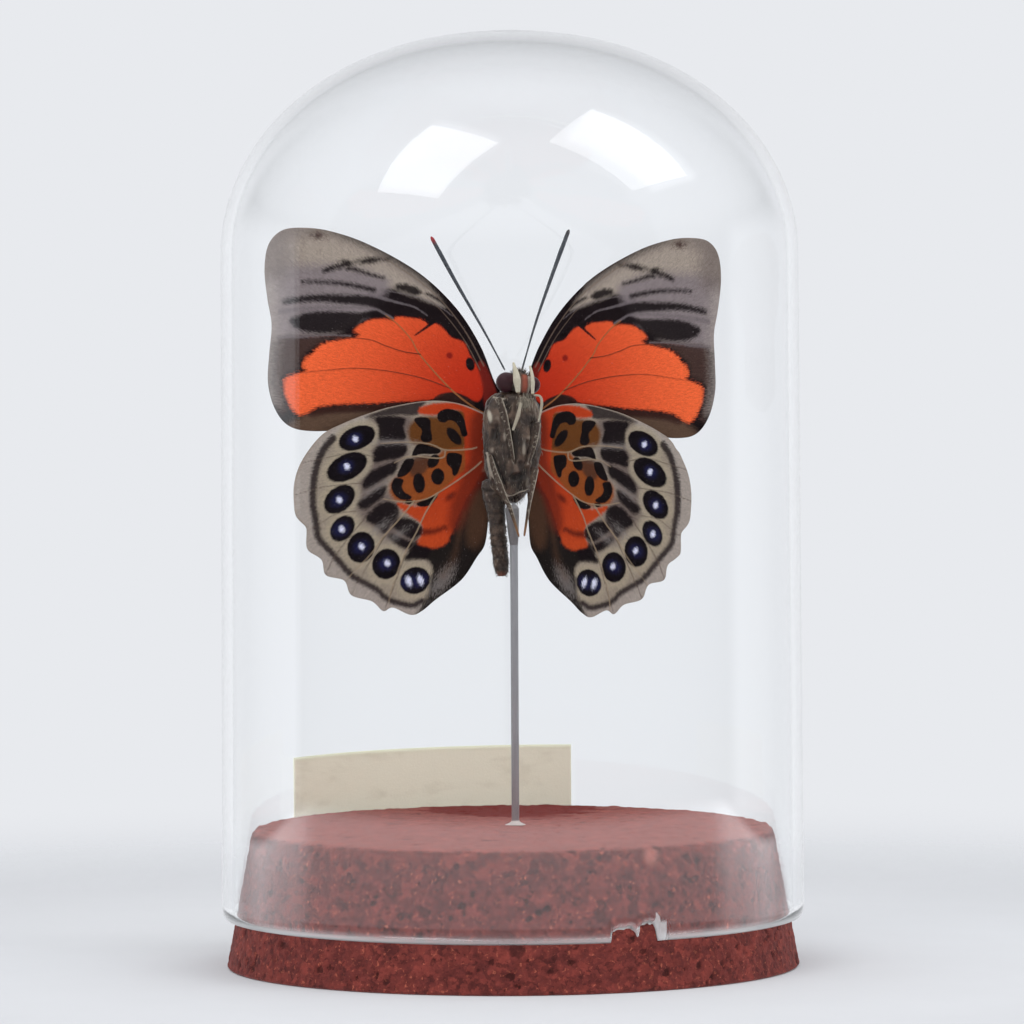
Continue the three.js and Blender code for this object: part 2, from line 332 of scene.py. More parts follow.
def add_mesh(name, points, quads, triangles, marks):
    """An object at the origin from arrays of points in metres, four-cornered and three-cornered faces, and
    numbers stored on the points. Faces are turned round together if they enclose a negative volume."""
    corners = [quads[:, [0, 1, 2]], quads[:, [0, 2, 3]], triangles]
    a, b, c = (points[np.concatenate([part[:, k] for part in corners])] for k in range(3))
    if np.einsum("ij,ij->i", a, np.cross(b, c)).sum() < 0:
        quads, triangles = quads[:, ::-1], triangles[:, ::-1]
    mesh = bpy.data.meshes.new(name)
    loops = np.concatenate([quads.ravel(), triangles.ravel()]).astype(np.int32)
    starts = np.concatenate([np.arange(len(quads)) * 4, len(quads) * 4 + np.arange(len(triangles)) * 3])
    mesh.vertices.add(len(points))
    mesh.vertices.foreach_set("co", points.astype(np.float32).ravel())
    mesh.loops.add(len(loops))
    mesh.loops.foreach_set("vertex_index", loops)
    mesh.polygons.add(len(starts))
    mesh.polygons.foreach_set("loop_start", starts.astype(np.int32))
    mesh.polygons.foreach_set("use_smooth", np.ones(len(starts), bool))
    mesh.update(calc_edges=True)
    if mesh.validate():
        raise RuntimeError(f"{name} has faces that Blender had to repair")
    for key, values in marks.items():
        stored = mesh.attributes.new(key, "FLOAT", "POINT")
        stored.data.foreach_set("value", np.asarray(values, np.float32).ravel())
    piece = bpy.data.objects.new(name, mesh)
    bpy.context.scene.collection.objects.link(piece)
    return piece


def skin_faces(rows, columns):
    """Faces of a closed skin: quads between rings, and a fan at each end from a point of its own. The points
    are numbered start point, rings, end point."""
    ring = 1 + np.arange(rows * columns).reshape(rows, columns)
    after = np.roll(ring, -1, axis=1)
    quads = np.stack([ring[:-1], after[:-1], after[1:], ring[1:]], axis=-1).reshape(-1, 4)
    start = np.zeros(columns, np.int64)
    end = np.full(columns, 1 + rows * columns)
    top = np.stack([start, after[0], ring[0]], axis=-1)
    bottom = np.stack([end, ring[-1], after[-1]], axis=-1)
    return quads, np.concatenate([top, bottom])


def add_skin(name, rings, start, end, marks=None):
    """A closed surface from rings of points in metres, an array of rows, columns and three, with a point at
    each end."""
    rows, columns = rings.shape[:2]
    points = np.concatenate([[start], rings.reshape(-1, 3), [end]])
    quads, triangles = skin_faces(rows, columns)
    stored = {
        key: np.concatenate([[value[0].mean()], value.ravel(), [value[-1].mean()]])
        for key, value in (marks or {}).items()
    }
    return add_mesh(name, points, quads, triangles, stored)


def turned(profile, bearings):
    """Rings from a profile of (radius, height) turned about the upright axis. Bearing 0 is the front."""
    radius, height = profile[:, :1], profile[:, 1:]
    height = np.broadcast_to(height, (len(profile), len(bearings)))
    return np.stack([radius * np.sin(bearings), -radius * np.cos(bearings), height], axis=-1)


def hang(points):
    """Specimen points in millimetres to their place in metres: pitched, rolled and yawed, then moved."""
    turn = Matrix.Rotation(math.radians(SPECIMEN_YAW), 3, "Z")
    turn @= Matrix.Rotation(math.radians(SPECIMEN_ROLL), 3, "Y")
    turn @= Matrix.Rotation(math.radians(SPECIMEN_PITCH), 3, "X")
    return (points @ np.array(turn).T + SPECIMEN_AT) * MM


def carried_frames(line):
    """Two directions across the line at each of its points, carried on from point to point untwisted."""
    ahead = unit(np.gradient(line, axis=0))
    side = np.cross(ahead[0], (0.31, 0.87, 0.38))
    sides = []
    for direction in ahead:
        side = side - direction * (side @ direction)
        side = side / np.linalg.norm(side)
        sides.append(side)
    sides = np.array(sides)
    return sides, np.cross(ahead, sides)


def tube_rings(line, radii, columns, flatten):
    """Rings round a line: at each point a circle of that radius, flattened towards the viewer."""
    sides, ups = carried_frames(line)
    turn = full_turn(columns)[None, :, None]
    circle = np.cos(turn) * sides[:, None] + np.sin(turn) * ups[:, None]
    rings = line[:, None] + radii[:, None, None] * circle
    rings[..., 1] = line[:, None, 1] + (rings[..., 1] - line[:, None, 1]) * flatten
    return rings


def add_limb(name, route, radii, rows, roughness, columns=18, flatten=1.0):
    """A limb: a smooth route through specimen points, carrying circles whose radii follow a smooth curve
    too, with rounded ends and a little relief."""
    line = even_steps(smooth_line(route, 14), rows)
    size = even_steps(smooth_line(np.array(radii)[:, None], 14), rows)[:, 0]
    share = np.linspace(0, 1, rows)
    round_off = np.sqrt(np.clip(1 - clamp(np.abs(share - 0.5) * 2 - 0.94) ** 2 / 0.0036, 0.02, 1))
    middle = line[:, None]
    rings = tube_rings(line, size * round_off, columns, flatten)
    rings = middle + (rings - middle) * (1 + roughness * cloud(rings, 0.45, SEED)[..., None])
    # One side of each limb, towards +x, gets a pale crest: pale scales, partly a painted highlight on that
    # side.
    outward_x = (rings - middle)[..., 0] / size[:, None]
    marks = {"along": np.tile(share[:, None], columns), "pale_crest_and_highlight": clamp(outward_x * 3 - 1.6)}
    return add_skin(name, hang(rings), hang(line[0]), hang(line[-1]), marks)


def add_hairs(name, roots, lean, lengths, radius, droop):
    """A coat of hairs in specimen millimetres. Each is a three-sided spike of three rings and a point, bent
    by droop along its length, closed at the root."""
    rng = np.random.default_rng(SEED)
    stops = np.array([0.0, 0.4, 0.75, 1.0])
    reach = stops[None, :, None] * lengths[:, None, None]
    line = roots[:, None] + lean[:, None] * reach + np.asarray(droop) * (stops**2)[None, :, None]
    across = unit(np.cross(lean, (0.2, 0.3, 0.9)))
    up = np.cross(lean, across)
    turn = (np.arange(3) * 2 * math.pi / 3)[None, None, :, None]
    circle = np.cos(turn) * across[:, None, None] + np.sin(turn) * up[:, None, None]
    width = (radius * (1 - 0.75 * stops[:3]))[None, :, None, None]
    rings = line[:, :3, None] + circle * width
    count = len(roots)
    points = np.concatenate([rings.reshape(count, 9, 3), line[:, 3:]], axis=1).reshape(-1, 3)
    base = np.arange(count)[:, None] * 10
    corner = np.arange(6)
    after = corner // 3 * 3 + (corner + 1) % 3
    quads = np.stack([corner, after, after + 3, corner + 3], axis=1)
    tips = np.array([[6, 7, 9], [7, 8, 9], [8, 6, 9], [0, 2, 1]])
    shade = np.repeat(rng.random(count), 10)
    faces = (base[:, None] + quads).reshape(-1, 4), (base[:, None] + tips).reshape(-1, 3)
    return add_mesh(name, hang(points), *faces, {"shade": shade})


def place(piece, material, slot, *nodes):
    """Gives a piece its material, its body and the CAD nodes that it stands for. The slot is not used."""
    piece.data.materials.append(material)
    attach(piece, BODY)
    if nodes:
        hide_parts(*nodes)
    return piece


# ---------- shader nodes


class Board:
    """Adds nodes to one tree. An input is given a value, or a socket to link from."""

    def __init__(self, tree):
        self.tree = tree

    def add(self, kind, inputs=None, **settings):
        """A new node of this kind with its settings and inputs."""
        node = self.tree.nodes.new(kind)
        for key, value in settings.items():
            setattr(node, key, value)
        self.feed(node, inputs or {})
        return node

    def feed(self, node, inputs):
        """Gives each input of a node a value, or a link where a socket is given."""
        for key, value in inputs.items():
            if isinstance(value, bpy.types.NodeSocket):
                self.tree.links.new(value, node.inputs[key])
            else:
                node.inputs[key].default_value = value

    def math(self, operation, a, b=0.0):
        """One operation on two numbers."""
        return self.add("ShaderNodeMath", {0: a, 1: b}, operation=operation).outputs[0]

    def times(self, a, b):
        """The product of two numbers."""
        return self.math("MULTIPLY", a, b)

    def plus(self, a, b):
        """The sum of two numbers."""
        return self.math("ADD", a, b)

    def larger(self, a, b):
        """The larger of two numbers."""
        return self.math("MAXIMUM", a, b)

    def mix(self, share, a, b):
        """Colour a, or b where the share is one, and the blend of both in between."""
        return self.add("ShaderNodeMix", {0: share, 6: a, 7: b}, data_type="RGBA").outputs[2]

    def blend(self, share, a, b):
        """The same for two shaders."""
        return self.add("ShaderNodeMixShader", {0: share, 1: a, 2: b}).outputs["Shader"]

    def span(self, value, low, high, to_low=0.0, to_high=1.0):
        """An eased ramp from one level to another while the value goes from low to high."""
        inputs = {"Value": value, "From Min": low, "From Max": high, "To Min": to_low, "To Max": to_high}
        return self.add("ShaderNodeMapRange", inputs, interpolation_type="SMOOTHSTEP").outputs["Result"]

    def layered(self, shade, layers):
        """Lays colours over a shade, each as (socket, where it starts and is full, strength, colour)."""
        for source, low, high, strength, tint in layers:
            shade = self.mix(self.span(source, low, high, 0.0, strength), shade, tint)
        return shade

    def noise(self, vector, scale, detail=3.0, roughness=0.5):
        """Cloudy noise from 0 to 1."""
        inputs = {"Vector": vector, "Scale": scale, "Detail": detail, "Roughness": roughness}
        return self.add("ShaderNodeTexNoise", inputs).outputs["Fac"]

    def cells(self, vector, scale):
        """Cells round random points, each with a colour and the distance to its point."""
        return self.add("ShaderNodeTexVoronoi", {"Vector": vector, "Scale": scale})

    def stored(self, key):
        """A number stored on the mesh."""
        return self.add("ShaderNodeAttribute", attribute_name=key).outputs["Fac"]

    def place(self):
        """The point's own place in the object, in metres."""
        return self.add("ShaderNodeTexCoord").outputs["Object"]

    def bump(self, height, distance, strength=1.0):
        """The normal of a surface raised by height times distance."""
        inputs = {"Height": height, "Distance": distance, "Strength": strength}
        return self.add("ShaderNodeBump", inputs).outputs["Normal"]

    def use(self, name, **inputs):
        """Places a shared group and gives its first output."""
        node = self.add("ShaderNodeGroup", None, node_tree=bpy.data.node_groups[name])
        self.feed(node, {key.title(): value for key, value in inputs.items()})
        return node.outputs[0]


def new_group(name, inputs, output):
    """An empty shader group. inputs are (name, kind, default); output is (name, kind). Gives its board, its
    input sockets by name, and the node that takes the output."""
    tree = bpy.data.node_groups.new(name, "ShaderNodeTree")
    for key, kind, default in inputs:
        socket = tree.interface.new_socket(key, in_out="INPUT", socket_type=f"NodeSocket{kind}")
        if default is not None:
            socket.default_value = default
    tree.interface.new_socket(output[0], in_out="OUTPUT", socket_type=f"NodeSocket{output[1]}")
    board = Board(tree)
    entry = board.add("NodeGroupInput")
    leave = board.add("NodeGroupOutput")
    return board, {key: entry.outputs[key] for key, _, _ in inputs}, leave


def build_groups():
    """The three shared effects: a mark with feathered edges, mottled colour and fine grain."""
    inputs = [
        ("Vector", "Vector", None), ("Distance", "Float", 0.0), ("Softness", "Float", 0.1),
        ("Feather", "Float", 0.1),
    ]
    board, given, leave = new_group("feathered_mark", inputs, ("Mask", "Float"))
    fine = board.noise(given["Vector"], 3.2, 3.0, 0.65)
    ragged = board.times(board.math("SUBTRACT", fine, 0.5), given["Feather"])
    moved = board.plus(given["Distance"], board.times(ragged, 3.0))
    low = board.times(given["Softness"], -1.0)
    board.tree.links.new(board.span(moved, low, given["Softness"]), leave.inputs["Mask"])

    inputs = [
        ("Vector", "Vector", None), ("Color", "Color", None), ("Scale", "Float", 400.0),
        ("Strength", "Float", 0.2),
    ]
    board, given, leave = new_group("mottled", inputs, ("Color", "Color"))
    broad = board.noise(given["Vector"], given["Scale"], 4.0, 0.6)
    swing = board.times(board.math("SUBTRACT", broad, 0.5), given["Strength"])
    value = board.plus(1.0, board.times(swing, 2.0))
    shaded = board.add("ShaderNodeHueSaturation", {"Value": value, "Color": given["Color"]})
    board.tree.links.new(shaded.outputs["Color"], leave.inputs["Color"])

    inputs = [("Vector", "Vector", None), ("Scale", "Float", 2000.0), ("Height", "Float", 0.00002)]
    board, given, leave = new_group("fine_grain", inputs, ("Normal", "Vector"))
    grain = board.noise(given["Vector"], given["Scale"], 4.0, 0.7)
    board.tree.links.new(board.bump(grain, given["Height"]), leave.inputs["Normal"])


def new_material(name):
    """An empty node material with its board, its Principled shader and its output."""
    material = bpy.data.materials.new(name)
    material.use_nodes = True
    material.node_tree.nodes.clear()
    board = Board(material.node_tree)
    shader = board.add("ShaderNodeBsdfPrincipled")
    leave = board.add("ShaderNodeOutputMaterial", {"Surface": shader.outputs["BSDF"]})
    return material, board, shader, leave


def wire(board, shader, **inputs):
    """Gives named inputs of the shader a value or a socket."""
    board.feed(shader, {key.replace("_", " "): value for key, value in inputs.items()})


def glass_material():
    """Clear glass. Shadow and diffuse rays pass straight through, so that light reaches the specimen. The
    broken edge is frosted and milky white, and the lip is milky white as a painted highlight, by their
    stored numbers."""
    material, board, shader, leave = new_material("clear_glass")
    frost = board.stored("frost")
    rough = board.times(frost, 0.45)
    shader.inputs["Base Color"].default_value = (0.985, 0.99, 0.992, 1)
    shader.inputs["IOR"].default_value = 1.47
    shader.inputs["Transmission Weight"].default_value = 1.0
    relief = board.times(frost, 0.0004)
    grain = board.use("fine_grain", vector=board.place(), scale=1500.0, height=relief)
    wire(board, shader, Roughness=rough, Normal=grain)
    path = board.add("ShaderNodeLightPath")
    passes = board.larger(path.outputs["Is Shadow Ray"], path.outputs["Is Diffuse Ray"])
    clear = board.add("ShaderNodeBsdfTransparent", {"Color": (0.965, 0.968, 0.97, 1)})
    # Milky white: frost on the broken edge, and a painted highlight on the lip.
    white_frost_and_highlight = board.add("ShaderNodeBsdfDiffuse", {"Color": (0.86, 0.87, 0.87, 1)})
    frosted_and_highlighted = board.blend(board.stored("milky"), shader.outputs["BSDF"], white_frost_and_highlight.outputs["BSDF"])
    board.feed(leave, {"Surface": board.blend(passes, frosted_and_highlighted, clear.outputs["BSDF"])})
    return material


def cork_material(finishes):
    """Dyed cork: granules of their own shades, dark seams, pits darkened with painted shade, pale flecks,
    and a top face painted lighter as painted light from above.
    """
    material, board, shader, _ = new_material("dyed_cork")
    place_at = board.place()
    # The cells' edges are bent by up to about a millimetre.
    settings = {"Vector": place_at, "Scale": 900.0, "Detail": 4.0, "Roughness": 0.7}
    coarse = board.add("ShaderNodeTexNoise", settings).outputs["Color"]
    jolt = board.add("ShaderNodeVectorMath", {0: coarse, 1: (0.0016,) * 3}, operation="MULTIPLY")
    bent = board.add("ShaderNodeVectorMath", {0: place_at, 1: jolt.outputs[0]}, operation="ADD").outputs[0]
    big = board.add("ShaderNodeSeparateColor", {"Color": board.cells(bent, 620.0).outputs["Color"]})
    speck = board.add("ShaderNodeSeparateColor", {"Color": board.cells(bent, 1500.0).outputs["Color"]})
    broad = board.noise(place_at, 420.0, 5.0, 0.7)
    shade = board.mix(board.span(broad, 0.3, 0.72), finishes.cork_dark, finishes.cork_light)
    shade = board.mix(0.66, shade, finishes.cork)
    light, dark = finishes.cork_light, finishes.cork_dark
    height = board.add("ShaderNodeSeparateXYZ", {0: place_at}).outputs["Z"]
    # Each layer: what it follows, where it starts and is full, its strength and its colour.
    layers = (
        (big.outputs["Red"], 0.5, 1.0, 0.4, light),
        (big.outputs["Green"], 0.6, 1.0, 0.3, dark),
        (speck.outputs["Red"], 0.6, 1.0, 0.35, light),
        (speck.outputs["Green"], 0.7, 1.0, 0.45, dark),
        (board.noise(place_at, 2100.0, 3.0, 0.7), 0.6, 0.7, 0.7, paint(44, 15, 15)),
        (board.noise(bent, 1700.0, 3.0), 0.6, 0.73, 0.6, paint(200, 108, 84)),
        # Painted light: the top face and its edge are painted lighter, as if lit from above.
        (height, 0.0212, 0.0217, 0.3, paint(196, 126, 116)),
        # Painted shade: pits and the gaps of missing granules are darkened.
        (board.stored("shaded_pit"), 0.25, 0.8, 0.6, paint(44, 16, 16)),
        (board.stored("pale"), 0.0, 1.0, 0.75, paint(186, 112, 100)),
        (board.stored("wet"), 0.0, 1.0, 0.8, paint(112, 30, 26)),
    )
    shade = board.layered(shade, layers)
    shade = board.use("mottled", vector=place_at, color=shade, scale=900.0, strength=0.3)
    steps = board.times(speck.outputs["Red"], 0.6)
    relief = board.bump(board.plus(board.noise(place_at, 1600.0, 4.0, 0.65), steps), 0.00022)
    wire(board, shader, Base_Color=shade, Roughness=0.86, Specular_IOR_Level=0.25, Normal=relief)
    return material


def steel_material():
    """Drawn steel wire, scratched along its length."""
    material, board, shader, _ = new_material("drawn_steel")
    stretch = board.add("ShaderNodeMapping", {"Vector": board.place(), "Scale": (6000.0, 6000.0, 120.0)})
    lines = board.noise(stretch.outputs[0], 1.0, 3.0)
    shade = board.mix(lines, paint(158, 158, 161), paint(204, 204, 207))
    rough = board.span(lines, 0.2, 0.8, 0.42, 0.6)
    relief = board.bump(lines, 0.00002, 0.5)
    wire(board, shader, Base_Color=shade, Metallic=1.0, Roughness=rough, Normal=relief)
    return material


def glue_material(tint, clear, name):
    """Dried glue: milky, smooth and a little uneven."""
    material, board, shader, _ = new_material(name)
    shade = board.use("mottled", vector=board.place(), color=tint, scale=700.0, strength=0.3)
    grain = board.use("fine_grain", vector=board.place(), scale=700.0, height=0.0001)
    wire(board, shader, Base_Color=shade, Roughness=0.28, Normal=grain)
    shader.inputs["Transmission Weight"].default_value = clear
    return material


def paper_material(finishes):
    """Aged uncoated paper: soft fibres, a paler edge, faint smudges and a faint painted glow."""
    material, board, shader, _ = new_material("aged_paper")
    place_at = board.place()
    flat = board.add("ShaderNodeMapping", {"Vector": place_at, "Scale": (1.0, 1.0, 2.4)}).outputs[0]
    smudge = board.span(board.noise(flat, 130.0, 4.0, 0.65), 0.5, 0.74, 0.0, 0.3)
    shade = board.mix(smudge, finishes.paper, paint(196, 188, 164))
    edge = board.times(board.stored("border"), 0.55)
    shade = board.mix(edge, shade, paint(222, 228, 196))
    shade = board.use("mottled", vector=place_at, color=shade, scale=2600.0, strength=0.08)
    grain = board.use("fine_grain", vector=place_at, scale=2500.0, height=0.00005)
    wire(board, shader, Base_Color=shade, Roughness=0.82, Specular_IOR_Level=0.3, Normal=grain)
    # A painted glow: a faint emission stands in for the light behind the thin paper showing through it.
    shader.inputs["Emission Color"].default_value = paint(214, 209, 186)
    shader.inputs["Emission Strength"].default_value = 0.12
    return material


def body_material(finishes):
    """Scaled and hairy body: grey-brown, mottled, with painted shade in the hollows, painted highlights on
    the ridges, and cream patches, all stored on the mesh.
    """
    material, board, shader, _ = new_material("body_scales")
    place_at = board.place()
    broad = board.span(board.noise(place_at, 420.0, 4.0, 0.6), 0.35, 0.7)
    shade = board.mix(broad, paint(46, 36, 30), finishes.body)
    layers = (
        (board.noise(place_at, 1300.0, 3.0), 0.6, 0.78, 0.4, paint(128, 114, 102)),
        # Painted shade: this dark mark darkens hollows, the troughs of folds and the grooves between
        # segments; it also holds dark spots and the darker top of the head.
        (board.stored("dark"), 0.0, 1.0, 0.85, paint(28, 22, 19)),
        # Painted highlights: this pale mark lights the plates, the tops of folds and a line beside the
        # face's crease, and on the abdomen pale patches at random.
        (board.stored("ridge"), 0.0, 1.0, 0.9, paint(168, 156, 140)),
        (board.stored("cream"), 0.0, 1.0, 0.9, paint(186, 178, 160)),
    )
    shade = board.mix(board.stored("red"), board.layered(shade, layers), paint(152, 78, 58))
    height = board.noise(place_at, 1500.0, 5.0, 0.7)
    relief = board.bump(height, 0.00016)
    wire(board, shader, Base_Color=shade, Roughness=0.4, Specular_IOR_Level=0.4, Normal=relief)
    return material


def hair_material(name, low, high):
    """Hairs whose shade runs between two colours by their own stored number."""
    material, board, shader, _ = new_material(name)
    shade = board.mix(board.stored("shade"), low, high)
    shade = board.use("mottled", vector=board.place(), color=shade, scale=900.0, strength=0.35)
    wire(board, shader, Base_Color=shade, Roughness=0.55, Specular_IOR_Level=0.15)
    return material


def eye_material():
    """Dark maroon compound eye with a fine facet relief and a soft gloss."""
    material, board, shader, _ = new_material("compound_eye")
    place_at = board.place()
    relief = board.bump(board.cells(place_at, 9000.0).outputs["Distance"], 0.00003)
    shade = board.mix(board.noise(place_at, 700.0), paint(40, 20, 24), paint(66, 38, 42))
    wire(board, shader, Base_Color=shade, Roughness=0.3, Specular_IOR_Level=0.2, Normal=relief)
    return material


def limb_material(name, base, edge, tip, fade=(0.93, 0.985)):
    """Chitin of a leg, palp or antenna: a base shade, paler scales, a pale crest on one side that is partly
    a painted highlight, and a colour at the tip.
    """
    material, board, shader, _ = new_material(name)
    place_at = board.place()
    shade = board.mix(board.span(board.noise(place_at, 2400.0, 3.0), 0.5, 0.72, 0.0, 0.5), base, edge)
    shade = board.mix(board.stored("pale_crest_and_highlight"), shade, edge)
    shade = board.mix(board.span(board.stored("along"), *fade), shade, tip)
    grain = board.use("fine_grain", vector=place_at, scale=3000.0, height=0.00006)
    wire(board, shader, Base_Color=shade, Roughness=0.5, Specular_IOR_Level=0.25, Normal=grain)
    return material


def wing_material(name, ground, layers, dorsal):
    """Wing scales: a ground colour, then each layer (stored distance, colour, softness, feather, strength)
    over the last. Noise that runs out from the wing's root feathers every edge. The upper side has a ground
    and layers of its own."""
    material, board, shader, _ = new_material(name)
    ray, reach, side = board.stored("ray"), board.stored("reach"), board.stored("upper_side")
    outwards = {"X": board.times(ray, 3.4), "Y": board.times(reach, 0.4), "Z": side}
    streaked = board.add("ShaderNodeCombineXYZ", outwards).outputs[0]

    frayed = board.span(reach, 8.0, 34.0, 0.7, 1.25)
    faded = board.span(reach, 8.0, 34.0, 0.9, 2.2)

    def painted(shade, listed):
        """The shade with each listed layer mixed over it by its feathered mark times its strength."""
        for key, tint, softness, feather, strength in listed:
            loose = board.times(frayed, feather)
            soft = board.times(faded, softness)
            mask = board.use(
                "feathered_mark", vector=streaked, distance=board.stored(key), softness=soft, feather=loose,
            )
            if key == "warm":
                tint = board.mix(board.span(reach, 2.0, 34.0), tint[0], tint[1])
            shade = board.mix(board.times(mask, strength), shade, tint)
        return shade

    below = painted(ground, layers)
    above = painted(*dorsal)
    shade = board.mix(side, below, above)
    flecks = board.noise(board.place(), 3600.0, 3.0, 0.7)
    shade = board.mix(board.span(flecks, 0.66, 0.76, 0.0, 0.5), shade, paint(158, 148, 146))
    fibres = board.span(board.noise(streaked, 5.5, 3.0), 0.6, 0.74)
    fibres = board.times(fibres, board.span(reach, 20.0, 40.0, 0.0, 0.5))
    shade = board.mix(fibres, shade, paint(70, 60, 58))
    threads = board.noise(streaked, 2.2, 4.0, 0.7)
    grain = board.noise(board.place(), 5200.0, 2.0, 0.6)
    value = board.span(threads, 0.25, 0.75, 0.84, 1.12)
    value = board.plus(value, board.span(grain, 0.2, 0.8, -0.13, 0.13))
    shade = board.add("ShaderNodeHueSaturation", {"Value": value, "Color": shade}).outputs["Color"]
    height = board.plus(threads, board.times(grain, 0.5))
    relief = board.bump(height, 0.00004)
    wire(board, shader, Base_Color=shade, Roughness=0.68, Specular_IOR_Level=0.06, Normal=relief)
    return material


# ---------- pieces: dome, cork, pin, glue and label

# Where the chip sits round the rim, and how far up from the rim the wall is reshaped, in millimetres.
CHIP_BEARING = math.radians(24.5)
CHIP_BAND = 6.0
# Each bite out of the rim: place along the rim, half width and height, in millimetres. Beside the bites a
# splinter still holds on between two places, and a crack ends it.
BITES = ((-2.0, 2.3, 2.3), (2.0, 1.75, 3.0))
SPLINTER = (3.0, 4.9)
CRACK_AT = 5.3
# Height of the rounded lip in millimetres, and the power that makes the cap fuller than an ellipse.
LIP_HEIGHT = 2.1
CAP_FULLNESS = 0.94


def dome_profile(sizes):
    """Half of the dome's section as (radius, height) in millimetres, from the outer top, down the wall,
    round the rim and up the inside. The cap's radius is a power of a cosine and its height a sine."""
    rim, shoulder, top = sizes.rim_height / MM, sizes.shoulder_height / MM, sizes.top_height / MM
    rim_radius, shoulder_radius, wall = sizes.rim_radius / MM, sizes.shoulder_radius / MM, sizes.wall / MM
    angle = np.linspace(math.pi / 2, 0, 40)[1:]
    bead, round_up = wall / 2, LIP_HEIGHT

    def cap(inset):
        """A quarter curve from the top to the shoulder, set in by this much."""
        reach = (shoulder_radius - inset) * np.cos(angle) ** CAP_FULLNESS
        return np.stack([reach, shoulder + (top - shoulder - inset) * np.sin(angle)], axis=1)

    def straight(inset):
        """The wall from the shoulder down to the lip, set in by this much, with closer rows near the rim."""
        low = rim + round_up
        coarse = np.linspace(shoulder, low + CHIP_BAND, 12)[1:]
        heights = np.concatenate([coarse, np.linspace(low + CHIP_BAND, low, 20)[1:]])
        share = (heights - rim) / (shoulder - rim)
        return np.stack([rim_radius + (shoulder_radius - rim_radius) * share - inset, heights], axis=1)

    turn = np.linspace(0, math.pi, 13)[1:-1]
    middle = rim_radius - bead
    lip = np.stack([middle + bead * np.cos(turn), rim + round_up - round_up * np.sin(turn)], axis=1)
    outer = np.concatenate([cap(0.0), straight(0.0)])
    inner = np.concatenate([cap(wall), straight(wall)])[::-1]
    return np.concatenate([outer, lip, inner]), top, wall


class OBJECT_OT_glass_dome(bpy.types.Operator):
    """Build the glass dome, with its fire-rounded rim and the chip broken out of it"""

    bl_idname = "object.glass_dome_shell"
    bl_label = "Glass Dome"

    def execute(self, context):
        """Turns the profile and lifts the foot of the wall by the bites: fully at the rim, less above it."""
        sizes = context.scene.glass_dome.dome
        profile, top, wall = dome_profile(sizes)
        rim = sizes.rim_height / MM
        even = full_turn(sizes.columns)
        near = CHIP_BEARING + np.radians(np.linspace(-9.5, 9.5, 150))
        bearings = np.unique(np.round(np.concatenate([even, near]), 5))
        rings = turned(profile, bearings)
        along = (bearings - CHIP_BEARING) * profile[:, :1].max()
        ragged = cloud(np.stack([along, along * 0, along * 0], axis=-1), 0.5, SEED) * 0.16
        lift = np.zeros(len(bearings))
        for across, half, high in BITES:
            bite = clamp(1 - np.abs((along - across) / half) ** 3) ** 0.36
            lift = np.maximum(lift, high * bite)
        lift = np.where(lift > 0, lift + ragged * clamp(lift), 0)
        height = rings[..., 2]
        low = clamp(1 - (height - rim) / CHIP_BAND)
        inside = profile[:, :1] < profile[:, :1].max() - wall / 2
        flare = np.where(inside, 0.86, 1.0)
        rings[..., 2] = height + lift * low * flare
        broken = clamp(lift / 0.4) * clamp((low - 0.86) / 0.08)
        held = (along > SPLINTER[0]) & (along < SPLINTER[1])
        held = held * clamp((low - 0.45) / 0.1) * np.broadcast_to(~inside, low.shape)
        crack = np.exp(-(((along - CRACK_AT) / 0.12) ** 2)) * clamp((low - 0.35) / 0.2)
        frost = clamp(0.6 * broken + 0.9 * held + crack)
        # A painted highlight: the rounded lip is made milky white where it would gather the light, more so
        # towards the sides.
        aside = np.abs(np.sin(bearings))
        lip_highlight = clamp((1.25 - (height - rim)) / 0.5) * ~inside * (0.26 + 0.36 * aside)
        whole = clamp(1 - lift / 0.4)
        # Milky white where the glass is broken, and the painted lip highlight where the rim is whole.
        milky = np.clip(0.3 * broken + 0.45 * held + lip_highlight * whole, 0, 0.7)
        outwards = rings * (1, 1, 0) / profile[:, :1, None]
        rings -= outwards * (0.12 * crack)[..., None]
        ends = (0, 0, top * MM), (0, 0, (top - wall) * MM)
        piece = add_skin("glass_dome_shell", rings * MM, *ends, {"frost": frost, "milky": milky})
        place(piece, glass_material(), "glass", "glass_dome")
        return {"FINISHED"}


